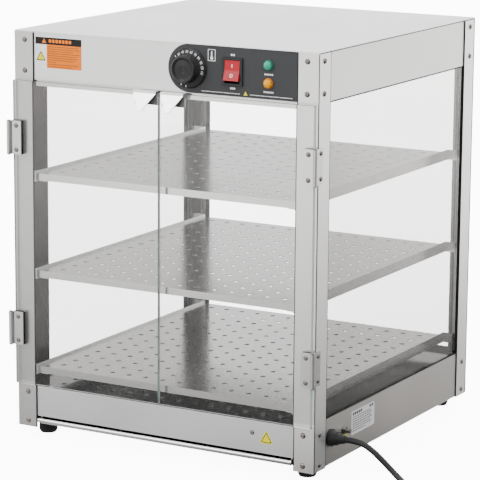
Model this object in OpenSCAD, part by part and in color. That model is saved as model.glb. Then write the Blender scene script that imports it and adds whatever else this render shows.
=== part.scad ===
// Countertop hot food display case: sheet steel housing on four angle posts,
// glass on four sides, two hinged glass doors, three perforated shelves,
// a heated deck in the base and a pull-out crumb tray under it.
// Millimetres. +X is right seen from the front, -Y is the front, Z = 0 is the worktop.

/* [Case] */
// Width over the corner posts
case_w = 400; // [380:5:420]
// Depth over the corner posts
case_d = 412; // [400:4:428]
// Height from the foot of the posts to the top of the roof
post_h = 476; // [470:2:490]
// Clearance under the corner posts
foot_gap = 12; // [10:1:16]
// Width of a post's front or rear leg
post_front_leg = 25; // [24:1:26]
// Width of a post's side leg
post_side_leg = 28; // [27:1:29]
// Thickness of the post steel
post_t = 1.2; // [1:0.1:1.4]
// Thickness of the panel steel
sheet_t = 1; // [0.8:0.1:1]
// Height of the control housing on top
housing_h = 57; // [56:1:60]
// Height of the base side panels
base_h = 56; // [55:1:58]

/* [Glass] */
// Thickness of the side and rear glass
side_glass_t = 4; // [3:0.5:4]
// Thickness of the door glass
door_glass_t = 5; // [4:0.5:5]
// Gap between the door glass and the posts
door_gap = 2; // [2:0.1:2.4]

/* [Shelves] */
// Height of the bottom shelf's surface
shelf_bottom_z = 87.5; // [86:0.5:90]
// Distance between two shelf surfaces
shelf_pitch = 116.5; // [112:0.5:118]
// Diameter of a perforation
hole_d = 6.5; // [5:0.5:8]
// Perforation spacing across the shelf
hole_pitch_x = 23; // [21:1:24]
// Perforation spacing from front to back
hole_pitch_y = 25; // [22:1:26]

/* [Hinges and handles] */
// Height of a hinge leaf
hinge_h = 40; // [36:1:44]
// Outside radius of a hinge barrel
barrel_r = 2.6; // [2.4:0.1:2.8]
// Distance of each hinge from the middle of the door
hinge_spread = 114.5; // [100:0.5:120]
// Width of a door handle clip
handle_w = 30; // [26:1:32]

/* [Controls] */
// Distance of the thermostat knob from the centre line
knob_x = 36; // [34:1:38]
// Radius of the knob's dial skirt
dial_r = 22.7; // [21:0.1:23]
// Radius of the knob's grip
grip_r = 15.8; // [14:0.1:17]
// Distance of the power switch from the centre line
rocker_x = 92; // [90:1:96]
// Distance of the two lamps from the centre line
lamp_x = 137.5; // [134:0.5:140]

/* [Power cord] */
// Diameter of the power cord
cord_d = 7; // [6:0.5:7]

/* [Hidden] */
$fn = 48;

// The case stands a little behind the origin, which is the middle of the whole footprint
case_y = 10;
half_w = case_w / 2;
half_d = case_d / 2;
post_z = foot_gap;
top_z = post_z + post_h;

// Planes of the panels, which lie behind the post legs
panel_x = half_w - post_t;
panel_y = half_d - post_t;
inner_x = panel_x - sheet_t;
inner_y = panel_y - sheet_t;
roof_under_z = top_z - sheet_t;
roof_seam = 1.2;
side_top_z = roof_under_z - roof_seam;
housing_z = top_z - housing_h;
base_top_z = post_z + base_h;

// Side and rear glass, held behind the panels by a thin seal
seal_t = 1;
glass_bottom_z = 60;
glass_top_z = housing_z + 5;
side_glass_x = inner_x - seal_t - side_glass_t;
rear_glass_y = inner_y - seal_t - side_glass_t;
side_glass_half_y = half_d - 20;
rear_glass_half_x = half_w - 16;
window_half_y = half_d - post_side_leg - 1.5;
window_half_x = half_w - post_front_leg - 1.5;
seal_band = 4.5;

// Case screws: two near each end of every post leg
screw_inset = 14;
screw_zs = [post_z + 7.5, post_z + 43, top_z - 46.5, top_z - 10.5];
screw_r = 2;
screw_hole_r = 2.1;
screw_head_r = 3.4;
screw_head_h = 2;
screw_len = 5;

// Deck, shelves and rails
deck_z = 64;
deck_half_x = side_glass_x - 0.8;
deck_rear_y = rear_glass_y - 0.8;
shelf_half_x = half_w - 28.2;
shelf_front_y = -half_d + 5;
shelf_rear_y = half_d - 19;
shelf_flange = 8.2;
shelf_zs = [shelf_bottom_z, shelf_bottom_z + shelf_pitch, shelf_bottom_z + 2 * shelf_pitch];
rail_x = shelf_half_x + 0.2;
rail_t = 1.2;
rail_ledge = 11;
rail_rise = 3;
columns = 14;
rows = 15;

// Bottom plate and crumb tray
plate_z = 16;
tray_half_x = 170;
tray_t = 0.8;
tray_z = plate_z + sheet_t + 0.2;
tray_wall_z = 25;
tray_rear_y = half_d - 18;
tray_lip_r = 2.6;
tray_slot_z = 26.5;
tray_slot_half_x = half_w - post_front_leg - 0.5;

// Doors
door_bottom_z = 66;
door_top_z = housing_z - 1;
door_outer_x = half_w - 1.5;
door_inner_x = 0.75;
glass_back_y = -half_d - door_gap;
glass_front_y = glass_back_y - door_glass_t;
hinge_zs = [
    (door_bottom_z + door_top_z) / 2 - hinge_spread,
    (door_bottom_z + door_top_z) / 2 + hinge_spread
];

// Hinges: the pin stands diagonally outside the corner of the post
leaf_t = 1.2;
pad_t = 0.8;
rear_pad_t = 0.5;
clamp_t = 0.8;
leaf_back_y = glass_front_y - pad_t;
pin_x = half_w + barrel_r;
pin_y = leaf_back_y - barrel_r;
pin_r = 1.3;
pin_bore_r = 1.34;
leaf_w = 13;
leaf_outer_x = half_w - 0.4;
leaf_inner_x = leaf_outer_x - leaf_w;
post_leaf_reach = 11;
knuckle_gap = 0.2;
knuckle_h = hinge_h / 4;
hinge_screw_dz = 14.3;
hinge_screw_r = 1.5;
hinge_hole_r = 1.6;
hinge_head_r = 3;
hinge_head_h = 1.7;
door_screw_x = (leaf_inner_x + leaf_outer_x) / 2;
post_screw_y = -half_d + 5.5;

// Door handles
handle_t = 1;
handle_x = 3;
handle_inner_h = 15;
tongue_len = 22;
tongue_tip_r = 4.5;
tongue_tilt = 30;
tongue_start_z = door_top_z - 2;

// Control panel
control_z = housing_z + 28.5;
overlay_t = 0.6;
overlay_y = -panel_y;
overlay_front_y = overlay_y - overlay_t;
overlay_right_x = half_w - post_front_leg - 1;
overlay_r = 27.5;
shaft_r = 3;
shaft_hole_r = shaft_r + 2;
switch_hole = [11.2, 14.2];
rocker_half_w = 9.5;
rocker_half_h = 11.4;
rocker_pivot_y = overlay_front_y + 5;
rocker_rest_tilt = 10;
green_lamp_z = control_z + 10.3;
amber_lamp_z = control_z - 9.7;
lamp_r = 5.6;
lamp_hole_r = lamp_r - 0.6;
bulb_y = -half_d + 56;

// Heating and wiring
heater_z = 44;
heater_r = 3.25;
heater_run = 260;
heater_pitch = 60;
riser = [half_w - 17, -half_d + 10];
riser_hole_r = 4;
riser_places = [[-0.85, 1.5], [-0.85, -1.5], [2.2, 0]];
block_z = 40;
terminal_ys = [for (i = [0 : 5]) -117 + 8 * i];
bend_reach = 4;

// Power cord: leaves the right base panel near the front post
gland_y = -half_d + 41;
gland_z = 45;
gland_len = 20;
// Earth stud and the small screws in the base
earth_y = -half_d + 74;
earth_z = 45.5;
label_screw_y = earth_y - 17;
label_screw_z = earth_z - 1;
front_screw_x = 120;
front_screw_z = 49;
// Printed labels: opposite corners of the two oblong ones, and the two small marks
sticker_t = 0.2;
notice_low = [-172.5, 445];
notice_high = [-107, 482.5];
data_label_low = [-111, 33.5];
data_label_high = [-52, 61.5];
base_mark = [front_screw_x + 19, 45];
base_mark_r = 9.8;
earth_mark_r = 5;
cord_r = cord_d / 2;
cord_sides = 10;
// Route from the gland down to the worktop and round to the coil beside the front corner
cord_route = [
    [219, -155, 45], [229, -155, 45], [240, -155, 43.3], [250, -155, 39], [259, -155, 33],
    [268, -155, 26], [277, -155.7, 19], [287, -157.8, 12.3], [298, -162.1, 7.2],
    [309.5, -169, 4.4], [320, -177.7, 3.6], [328.6, -188.9, 3.6], [335, -201.5, 3.6],
    [338.8, -215, 3.6], [340, -229, 3.6], [340, -240, 3.6], [340, -248, 3.6]
];
// Last stretch from the top of the coil to the plug
cord_tail = [[340, -260, 11], [340, -269, 11], [340, -278, 11], [340, -287, 11], [340, -296, 11]];
ring_step = 2.2 * cord_d;
coil_centre = [295, -250, 0];
coil_inner_r = 27;
coil_outer_r = 49;
coil_h = 14.6;
plug_start = [340, -296, 11];

// ---------- helpers ----------

// Moves a child from the case's own centre to its place in the frame
module in_case() {
    translate([0, case_y, 0])
        children();
}

// Mirrors a right front corner to any of the four corners: sx is +1 right, sy is -1 front
module at_corner(sx, sy) {
    mirror([sx < 0 ? 1 : 0, 0, 0])
        mirror([0, sy > 0 ? 1 : 0, 0])
            children();
}

// A block given by its lowest and highest corners
module block(low, high) {
    translate(low)
        cube(high - low);
}

// A block and its mirror image across X = 0
module block_pair(low, high) {
    block(low, high);
    mirror([1, 0, 0])
        block(low, high);
}

// Cylinder along -Y, starting at p
module front_pin(p, r, h) {
    translate(p)
        rotate([90, 0, 0])
            cylinder(r = r, h = h);
}

// Cylinder along +X, starting at p
module side_pin(p, r, h) {
    translate(p)
        rotate([0, 90, 0])
            cylinder(r = r, h = h);
}

// Straight round rod between two points
module rod(p, q, r) {
    d = q - p;
    length = norm(d);
    translate(p)
        rotate([0, acos(d[2] / length), atan2(d[1], d[0])])
            cylinder(r = r, h = length);
}

// A wire or tube that bends at each point
module wire(points, r) {
    for (i = [0 : len(points) - 2])
        rod(points[i], points[i + 1], r);
    for (i = [1 : len(points) - 2])
        translate(points[i])
            sphere(r = r);
}

// Round-headed screw along Z: the head stands on Z = 0 and the shank runs down
module dome_screw(head_r, head_h, shank_r, shank_len) {
    dome_r = (head_r * head_r + head_h * head_h) / (2 * head_h);
    intersection() {
        translate([0, 0, head_h - dome_r])
            sphere(r = dome_r);
        cylinder(r = head_r + 1, h = head_h);
    }
    translate([0, 0, -shank_len])
        cylinder(r = shank_r, h = shank_len + 0.2);
}

// Holes for the case screws in the front and rear legs
module end_screw_holes() {
    for (sx = [-1, 1])
        for (sy = [-1, 1])
            for (z = screw_zs)
                front_pin([sx * (half_w - screw_inset), sy * (half_d - 4) + 8, z], screw_hole_r, 16);
}

// Holes for the case screws in the side legs
module side_screw_holes() {
    for (sx = [-1, 1])
        for (sy = [-1, 1])
            for (z = screw_zs)
                side_pin([sx * (half_w - 4) - 8, sy * (half_d - screw_inset), z], screw_hole_r, 16);
}

// ---------- posts ----------

// Angle with its outer corner at the right front, ending under the roof sheet
module post_angle() {
    linear_extrude(post_h - sheet_t)
        polygon([
            [half_w, -half_d],
            [half_w - post_front_leg, -half_d],
            [half_w - post_front_leg, -half_d + post_t],
            [half_w - post_t, -half_d + post_t],
            [half_w - post_t, -half_d + post_side_leg],
            [half_w, -half_d + post_side_leg]
        ]);
}

module post_holes() {
    for (z = screw_zs) {
        front_pin([half_w - screw_inset, -half_d + 4, z], screw_hole_r, 8);
        side_pin([half_w - 4, -half_d + screw_inset, z], screw_hole_r, 8);
    }
}

module hinge_holes_in_post() {
    for (z = hinge_zs)
        for (dz = [-hinge_screw_dz, hinge_screw_dz])
            side_pin([half_w - 4, post_screw_y, z + dz], hinge_hole_r, 8);
}

module post(sx, sy) {
    color("lightgray")
        in_case()
            at_corner(sx, sy)
                difference() {
                    translate([0, 0, post_z])
                        post_angle();
                    block([half_w - post_t - 1, -half_d + post_t, side_top_z],
                          [half_w + 1, -half_d + post_side_leg + 1, top_z]);
                    post_holes();
                    if (sy < 0)
                        hinge_holes_in_post();
                }
}

// ---------- top housing ----------

module roof_panel() {
    flange_z = roof_under_z - 12;
    color("gainsboro")
        in_case()
            difference() {
                union() {
                    block([-half_w, -half_d, roof_under_z], [half_w, half_d, top_z]);
                    block_pair([inner_x - sheet_t, -half_d + 10, flange_z],
                               [inner_x, half_d - 10, top_z - 0.5]);
                    block([-half_w + 10, -inner_y, flange_z],
                          [half_w - 10, -inner_y + sheet_t, top_z - 0.5]);
                    block([-half_w + 10, inner_y - sheet_t, flange_z],
                          [half_w - 10, inner_y, top_z - 0.5]);
                }
                end_screw_holes();
                side_screw_holes();
            }
}

module front_fascia() {
    color("gainsboro")
        in_case()
            difference() {
                union() {
                    block([-inner_x, -panel_y, housing_z], [inner_x, -inner_y, roof_under_z]);
                    block([-half_w + 26, -panel_y, housing_z],
                          [half_w - 26, -inner_y + 12, housing_z + sheet_t]);
                }
                end_screw_holes();
                front_pin([knob_x, -inner_y + 2, control_z], shaft_hole_r, 6);
                block([rocker_x - switch_hole[0], -half_d - 2, control_z - switch_hole[1]],
                      [rocker_x + switch_hole[0], -inner_y + 2, control_z + switch_hole[1]]);
                for (z = [green_lamp_z, amber_lamp_z])
                    front_pin([lamp_x, -inner_y + 2, z], lamp_hole_r, 6);
            }
}

module upper_side_panels() {
    color("lightgray")
        in_case()
            difference() {
                block_pair([inner_x, -panel_y, housing_z], [panel_x, panel_y, side_top_z]);
                side_screw_holes();
            }
}

module upper_rear_panel() {
    color("lightgray")
        in_case()
            difference() {
                block([-inner_x, inner_y, housing_z], [inner_x, panel_y, roof_under_z]);
                end_screw_holes();
            }
}

module ceiling_panel() {
    lip_y = -inner_y + 1.3;
    color("silver")
        in_case()
            difference() {
                union() {
                    block([-deck_half_x, lip_y, housing_z - sheet_t],
                          [deck_half_x, deck_rear_y, housing_z]);
                    block([-half_w + 26, lip_y, housing_z - 7],
                          [half_w - 26, lip_y + sheet_t, housing_z]);
                }
                translate([riser[0], riser[1], housing_z - 5])
                    cylinder(r = riser_hole_r, h = 10);
                translate([knob_x, bulb_y, housing_z - 5])
                    cylinder(r = 2, h = 10);
            }
}

// ---------- base ----------

module base_front_panel() {
    color("lightgray")
        in_case()
            difference() {
                block([-inner_x, -panel_y, post_z + 1], [inner_x, -inner_y, base_top_z - 2.5]);
                block([-tray_slot_half_x, -half_d, 0], [tray_slot_half_x, -half_d + 5, tray_slot_z]);
                end_screw_holes();
                front_pin([front_screw_x, -inner_y + 2, front_screw_z], screw_hole_r, 6);
            }
}

// Side panel with the ledge that carries the side glass and the deck
module base_side() {
    block([inner_x, -panel_y, post_z + 1], [panel_x, panel_y, base_top_z]);
    block([side_glass_x - 5, -side_glass_half_y, glass_bottom_z - sheet_t],
          [inner_x, side_glass_half_y, glass_bottom_z]);
}

module base_left_panel() {
    color("lightgray")
        in_case()
            difference() {
                mirror([1, 0, 0])
                    base_side();
                side_screw_holes();
            }
}

module base_right_panel() {
    color("darkgray")
        in_case()
            difference() {
                base_side();
                side_screw_holes();
                side_pin([inner_x - 3, gland_y, gland_z], 8, 8);
                side_pin([inner_x - 3, earth_y, earth_z], 2.6, 8);
                side_pin([inner_x - 3, label_screw_y, label_screw_z], hinge_hole_r, 8);
            }
}

module base_rear_panel() {
    color("lightgray")
        in_case()
            difference() {
                union() {
                    block([-inner_x, inner_y, post_z + 1], [inner_x, panel_y, base_top_z]);
                    block([-rear_glass_half_x, rear_glass_y - 5, glass_bottom_z - sheet_t],
                          [rear_glass_half_x, inner_y, glass_bottom_z]);
                }
                end_screw_holes();
            }
}

// Bottom plate with two folded-up guides for the crumb tray
module bottom_plate() {
    color("silver")
        in_case() {
            block([-inner_x, -half_d + 8, plate_z], [inner_x, inner_y, plate_z + sheet_t]);
            block_pair([tray_half_x + 1, -half_d + 8, plate_z],
                       [tray_half_x + 2, half_d - 16, tray_wall_z - 1]);
        }
}

module heater_deck() {
    color("dimgray")
        in_case()
            difference() {
                union() {
                    block([-deck_half_x, -inner_y, deck_z - sheet_t],
                          [deck_half_x, deck_rear_y, deck_z]);
                    block_pair([deck_half_x - sheet_t, -side_glass_half_y, glass_bottom_z],
                               [deck_half_x, side_glass_half_y, deck_z]);
                    block([-rear_glass_half_x, deck_rear_y - sheet_t, glass_bottom_z],
                          [rear_glass_half_x, deck_rear_y, deck_z]);
                }
                translate([0, (shelf_front_y + shelf_rear_y) / 2, deck_z - 5])
                    perforations(10);
                translate([riser[0], riser[1], deck_z - 5])
                    cylinder(r = riser_hole_r, h = 10);
            }
}

module crumb_tray() {
    color("gainsboro")
        in_case() {
            block([-tray_half_x, -half_d + 2, tray_z], [tray_half_x, tray_rear_y, tray_z + tray_t]);
            block_pair([tray_half_x - tray_t, -half_d + 4, tray_z],
                       [tray_half_x, tray_rear_y, tray_wall_z]);
            block([-tray_half_x, tray_rear_y - tray_t, tray_z],
                  [tray_half_x, tray_rear_y, tray_wall_z]);
            block([-tray_half_x, -half_d + 2, tray_z],
                  [tray_half_x, -half_d + 2 + tray_t, tray_z + 5]);
            side_pin([-tray_half_x - 2, -half_d + 0.6, tray_z + 4.1], tray_lip_r, 2 * tray_half_x + 4);
        }
}

module rubber_feet() {
    color("black")
        in_case()
            for (sx = [-1, 1])
                for (sy = [-1, 1])
                    translate([sx * (half_w - 23), sy * (half_d - 29), 0]) {
                        cylinder(r1 = 9.5, r2 = 11, h = 3);
                        translate([0, 0, 3])
                            cylinder(r = 11, h = plate_z - 3);
                    }
}

// ---------- shelves ----------

module perforations(h) {
    linear_extrude(h)
        for (i = [0 : columns - 1])
            for (j = [0 : rows - 1])
                translate([(i - (columns - 1) / 2) * hole_pitch_x, (j - (rows - 1) / 2) * hole_pitch_y])
                    circle(d = hole_d, $fn = 24);
}

module shelf(z) {
    color("silver")
        in_case()
            difference() {
                block([-shelf_half_x, shelf_front_y, z - shelf_flange],
                      [shelf_half_x, shelf_rear_y, z]);
                block([-shelf_half_x + sheet_t, shelf_front_y + sheet_t, z - shelf_flange - 1],
                      [shelf_half_x - sheet_t, shelf_rear_y - sheet_t, z - sheet_t]);
                translate([0, (shelf_front_y + shelf_rear_y) / 2, z - 5])
                    perforations(10);
            }
}

// Angle rail that carries one side of a shelf, with a tab to the front post and a tab to the rear post
module shelf_rail(z) {
    low_z = z - shelf_flange - rail_t;
    high_z = z + rail_rise;
    rear_tab_y = half_d - 18;
    block([rail_x, -panel_y, low_z], [rail_x + rail_t, rear_tab_y, high_z]);
    block([rail_x - rail_ledge, shelf_front_y + 2, low_z],
          [rail_x + rail_t, rear_tab_y, z - shelf_flange]);
    block([rail_x, -panel_y, low_z], [half_w - 11, -panel_y + rail_t, high_z]);
    block([rail_x, rear_tab_y, low_z], [panel_x, rear_tab_y + rail_t, high_z]);
    block([panel_x - rail_t, rear_tab_y, low_z], [panel_x, rear_tab_y + 11, high_z]);
}

module shelf_rails() {
    color("gray")
        in_case()
            for (z = shelf_zs) {
                shelf_rail(z);
                mirror([1, 0, 0])
                    shelf_rail(z);
            }
}

// ---------- fixed glass ----------

module side_glass() {
    color("lightcyan", 0.3)
        in_case()
            block_pair([side_glass_x, -side_glass_half_y, glass_bottom_z],
                       [side_glass_x + side_glass_t, side_glass_half_y, glass_top_z]);
}

module rear_glass() {
    color("lightcyan", 0.3)
        in_case()
            block([-rear_glass_half_x, rear_glass_y, glass_bottom_z],
                  [rear_glass_half_x, rear_glass_y + side_glass_t, glass_top_z]);
}

// Flat frame in the XY plane, with a thicker band along its two upright sides
module seal_frame(window_half, low_z, high_z) {
    difference() {
        translate([-window_half - seal_band, low_z, 0])
            cube([2 * (window_half + seal_band), high_z - low_z, seal_t]);
        translate([-window_half, base_top_z + 1.5, -1])
            cube([2 * window_half, housing_z - base_top_z - 3, seal_t + 2]);
    }
    for (s = [-1, 1])
        translate([s * (window_half + seal_band / 2) - seal_band / 2, base_top_z + 0.1, 0])
            cube([seal_band, housing_z - base_top_z - 0.2, seal_t + sheet_t]);
}

module glass_seals() {
    color("black")
        in_case() {
            for (sx = [-1, 1])
                mirror([sx < 0 ? 1 : 0, 0, 0])
                    translate([inner_x - seal_t, 0, 0])
                        rotate([90, 0, 90])
                            seal_frame(window_half_y, glass_bottom_z + 2, glass_top_z - 1);
            translate([0, inner_y - seal_t, 0])
                mirror([0, 1, 0])
                    rotate([90, 0, 0])
                        seal_frame(window_half_x, glass_bottom_z + 2, glass_top_z - 1);
        }
}

// ---------- doors ----------

// Both doors are drawn as the right-hand one and mirrored for the left
module on_side(sx) {
    in_case()
        mirror([sx < 0 ? 1 : 0, 0, 0])
            children();
}

module door_glass(sx) {
    color("lightcyan", 0.3)
        on_side(sx)
            difference() {
                block([door_inner_x, glass_front_y, door_bottom_z],
                      [door_outer_x, glass_back_y, door_top_z]);
                for (z = hinge_zs)
                    for (dz = [-hinge_screw_dz, hinge_screw_dz])
                        front_pin([door_screw_x, glass_back_y + 2, z + dz], 2.2, door_glass_t + 4);
            }
}

// Bent sheet clip over the top edge of the glass, with a tapered tongue to pull
module door_handle(sx) {
    mid_x = handle_x + handle_w / 2;
    front_y = glass_front_y - handle_t;
    color("whitesmoke")
        on_side(sx) {
            block([handle_x, glass_back_y, door_top_z - handle_inner_h],
                  [handle_x + handle_w, glass_back_y + handle_t, door_top_z + handle_t]);
            block([handle_x, front_y, door_top_z],
                  [handle_x + handle_w, glass_back_y + handle_t, door_top_z + handle_t]);
            block([handle_x, front_y, tongue_start_z],
                  [handle_x + handle_w, glass_front_y, door_top_z + handle_t]);
            translate([mid_x, glass_front_y, tongue_start_z])
                rotate([90 - tongue_tilt, 0, 0])
                    linear_extrude(handle_t)
                        tongue_outline();
        }
}

module tongue_outline() {
    polygon([
        [-handle_w / 2, 0],
        [handle_w / 2, 0],
        [tongue_tip_r, -tongue_len + tongue_tip_r],
        [-tongue_tip_r, -tongue_len + tongue_tip_r]
    ]);
    translate([0, -tongue_len + tongue_tip_r])
        circle(r = tongue_tip_r);
}

// Leaf on the door: it carries the middle knuckle
module door_leaf(z) {
    difference() {
        union() {
            block([leaf_inner_x, leaf_back_y - leaf_t, z - hinge_h / 2],
                  [leaf_outer_x, leaf_back_y, z + hinge_h / 2]);
            block([leaf_outer_x - 1, leaf_back_y - leaf_t, z - knuckle_h + knuckle_gap],
                  [pin_x, leaf_back_y, z + knuckle_h - knuckle_gap]);
            translate([pin_x, pin_y, z - knuckle_h + knuckle_gap])
                cylinder(r = barrel_r, h = 2 * (knuckle_h - knuckle_gap));
        }
        translate([pin_x, pin_y, z - hinge_h / 2])
            cylinder(r = pin_bore_r, h = hinge_h);
        for (dz = [-hinge_screw_dz, hinge_screw_dz])
            front_pin([door_screw_x, leaf_back_y + 2, z + dz], hinge_hole_r, 6);
    }
}

module hinge_leaves(sx) {
    color("silver")
        on_side(sx)
            for (z = hinge_zs)
                door_leaf(z);
}

// Leaf on the post's side: it carries the upper and lower knuckles
module post_leaf(z) {
    difference() {
        union() {
            block([half_w, leaf_back_y + 0.4, z - hinge_h / 2],
                  [half_w + leaf_t, -half_d + post_leaf_reach, z + hinge_h / 2]);
            for (s = [-1, 1]) {
                low = s < 0 ? z - hinge_h / 2 : z + knuckle_h;
                block([half_w, pin_y, low],
                      [half_w + leaf_t, leaf_back_y + 1, low + knuckle_h]);
                translate([pin_x, pin_y, low])
                    cylinder(r = barrel_r, h = knuckle_h);
            }
        }
        translate([pin_x, pin_y, z - hinge_h / 2 - 1])
            cylinder(r = pin_r, h = hinge_h + 2);
        for (dz = [-hinge_screw_dz, hinge_screw_dz])
            side_pin([half_w - 2, post_screw_y, z + dz], hinge_hole_r, 6);
    }
}

module post_hinge_leaves() {
    color("silver")
        for (sx = [-1, 1])
            on_side(sx)
                for (z = hinge_zs)
                    post_leaf(z);
}

module hinge_pins() {
    color("gray")
        for (sx = [-1, 1])
            on_side(sx)
                for (z = hinge_zs) {
                    translate([pin_x, pin_y, z - hinge_h / 2 - 0.6])
                        cylinder(r = pin_r, h = hinge_h + 1.2);
                    for (s = [-1, 1])
                        translate([pin_x, pin_y, z + s * (hinge_h / 2 + 0.35) - 0.35])
                            cylinder(r = 1.9, h = 0.7);
                }
}

module drilled_plate(y_low, y_high, z) {
    difference() {
        block([leaf_inner_x, y_low, z - hinge_h / 2],
              [door_outer_x, y_high, z + hinge_h / 2]);
        for (dz = [-hinge_screw_dz, hinge_screw_dz])
            front_pin([door_screw_x, y_high + 1, z + dz], hinge_hole_r, y_high - y_low + 2);
    }
}

module hinge_pads(sx) {
    color("black")
        on_side(sx)
            for (z = hinge_zs) {
                drilled_plate(leaf_back_y, glass_front_y, z);
                drilled_plate(glass_back_y, glass_back_y + rear_pad_t, z);
            }
}

module hinge_clamps(sx) {
    color("dimgray")
        on_side(sx)
            for (z = hinge_zs)
                drilled_plate(glass_back_y + rear_pad_t, glass_back_y + rear_pad_t + clamp_t, z);
}

module hinge_screws(sx) {
    shank = leaf_t + pad_t + door_glass_t + rear_pad_t + clamp_t;
    color("silver")
        on_side(sx)
            for (z = hinge_zs)
                for (dz = [-hinge_screw_dz, hinge_screw_dz])
                    translate([door_screw_x, leaf_back_y - leaf_t, z + dz])
                        rotate([90, 0, 0])
                            dome_screw(hinge_head_r, hinge_head_h, hinge_screw_r, shank);
}

module post_hinge_screws() {
    color("silver")
        for (sx = [-1, 1])
            on_side(sx)
                for (z = hinge_zs)
                    for (dz = [-hinge_screw_dz, hinge_screw_dz])
                        translate([half_w + leaf_t, post_screw_y, z + dz])
                            rotate([0, 90, 0])
                                dome_screw(hinge_head_r, hinge_head_h, hinge_screw_r, 4);
}

// Magnets under the ceiling lip that hold the handles' inner plates
module door_magnets() {
    color("dimgray")
        for (sx = [-1, 1])
            on_side(sx)
                block([handle_x + 6, -half_d - 0.4, door_top_z - 12],
                      [handle_x + 24, -inner_y + 1.3, door_top_z - 0.1]);
}

// ---------- fasteners ----------

module case_screws() {
    color("silver")
        in_case() {
            for (sx = [-1, 1])
                for (sy = [-1, 1])
                    at_corner(sx, sy)
                        for (z = screw_zs) {
                            translate([half_w - screw_inset, -half_d, z])
                                rotate([90, 0, 0])
                                    dome_screw(screw_head_r, screw_head_h, screw_r, screw_len);
                            translate([half_w, -half_d + screw_inset, z])
                                rotate([0, 90, 0])
                                    dome_screw(screw_head_r, screw_head_h, screw_r, screw_len);
                        }
            translate([front_screw_x, -panel_y, front_screw_z])
                rotate([90, 0, 0])
                    dome_screw(3, 1.6, screw_r, screw_len);
            translate([panel_x, label_screw_y, label_screw_z])
                rotate([0, 90, 0])
                    dome_screw(2.6, 1.5, hinge_screw_r, screw_len);
        }
}

// ---------- controls ----------

module control_overlay() {
    color("black")
        in_case()
            translate([0, overlay_y, 0])
                rotate([90, 0, 0])
                    linear_extrude(overlay_t)
                        difference() {
                            union() {
                                translate([knob_x, control_z])
                                    circle(r = overlay_r, $fn = 96);
                                translate([knob_x, control_z - overlay_r])
                                    square([overlay_right_x - knob_x, 2 * overlay_r]);
                            }
                            translate([knob_x, control_z])
                                circle(r = shaft_hole_r);
                            translate([rocker_x, control_z])
                                square(2 * switch_hole, center = true);
                            for (z = [green_lamp_z, amber_lamp_z])
                                translate([lamp_x, z])
                                    circle(r = lamp_hole_r);
                        }
}

// Knob turned from one profile: dial skirt, waist, grip and dished face
module thermostat_knob() {
    skirt_y = overlay_front_y - 0.8;
    color("black")
        in_case()
            translate([knob_x, skirt_y, control_z])
                rotate([90, 0, 0])
                    rotate_extrude($fn = 96)
                        polygon([
                            [shaft_r, 0], [dial_r - 0.6, 0], [dial_r, 0.8], [dial_r - 1.2, 2.6],
                            [grip_r + 0.4, 4], [grip_r, 6.5], [grip_r - 0.4, 13.6],
                            [grip_r - 1.6, 14.8], [grip_r - 2.6, 14.8], [grip_r - 5, 13.2],
                            [0, 12.4], [0, 11], [shaft_r, 11]
                        ]);
}

module thermostat_shaft() {
    color("silver")
        in_case()
            front_pin([knob_x, -inner_y + 18, control_z], shaft_r, inner_y - half_d + 18 + 11.5);
}

module thermostat_body() {
    color("tan")
        in_case()
            difference() {
                union() {
                    block([knob_x - 17, -inner_y + 4, control_z - 16],
                          [knob_x + 17, -inner_y + 26, control_z + 16]);
                    block([knob_x - 20, -inner_y, control_z - 10],
                          [knob_x + 20, -inner_y + 4, control_z + 10]);
                }
                front_pin([knob_x, -inner_y + 19, control_z], shaft_r + 0.06, 24);
            }
}

// Capillary tube from the thermostat to the sensing bulb under the ceiling
module thermostat_bulb() {
    color("peru")
        in_case() {
            wire([
                [knob_x, -inner_y + 26, control_z],
                [knob_x, bulb_y, control_z],
                [knob_x, bulb_y, housing_z - 4]
            ], 0.9);
            side_pin([knob_x - 4, bulb_y, housing_z - 4.4], 2.6, 84);
        }
}

// Switch body with a framed opening for the rocker
module rocker_housing() {
    color("black")
        in_case()
            difference() {
                union() {
                    block([rocker_x - 12.8, overlay_front_y - 2, control_z - 15.6],
                          [rocker_x + 12.8, overlay_front_y, control_z + 15.6]);
                    block([rocker_x - 11, overlay_front_y - 0.5, control_z - 14],
                          [rocker_x + 11, -inner_y + 20, control_z + 14]);
                }
                block([rocker_x - rocker_half_w - 0.3, overlay_front_y - 3, control_z - 13.2],
                      [rocker_x + rocker_half_w + 0.3, rocker_pivot_y + 6, control_z + 13.2]);
                side_pin([rocker_x - rocker_half_w - 1.2, rocker_pivot_y, control_z], 1.26,
                         2 * rocker_half_w + 2.4);
            }
}

// Rocker with its upper end pressed in, on two small pivot pins
module rocker_button() {
    front = rocker_pivot_y - overlay_front_y + 3.6;
    color("firebrick")
        in_case()
            translate([rocker_x, rocker_pivot_y, control_z])
                rotate([-rocker_rest_tilt, 0, 0]) {
                    rotate([90, 0, -90])
                        translate([0, 0, -rocker_half_w])
                            linear_extrude(2 * rocker_half_w)
                                polygon([
                                    [front, rocker_half_h], [front - 1.4, 0], [front, -rocker_half_h],
                                    [front - 6, -rocker_half_h + 0.8], [-3, -4], [-3, 4],
                                    [front - 6, rocker_half_h - 0.8]
                                ]);
                    side_pin([-rocker_half_w - 1, 0, 0], 1.2, 2 * rocker_half_w + 2);
                }
}

module lamp(z) {
    translate([lamp_x, overlay_front_y, z])
        rotate([90, 0, 0]) {
            cylinder(r = lamp_r + 0.4, h = 1.2);
            cylinder(r = lamp_r, h = 3);
            translate([0, 0, 3])
                intersection() {
                    translate([0, 0, -5])
                        sphere(r = norm([lamp_r, 5]));
                    cylinder(r = lamp_r, h = 8);
                }
            translate([0, 0, -16])
                cylinder(r = lamp_r - 0.8, h = 16.5);
        }
}

module green_lamp() {
    color("mediumseagreen")
        in_case()
            lamp(green_lamp_z);
}

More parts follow.
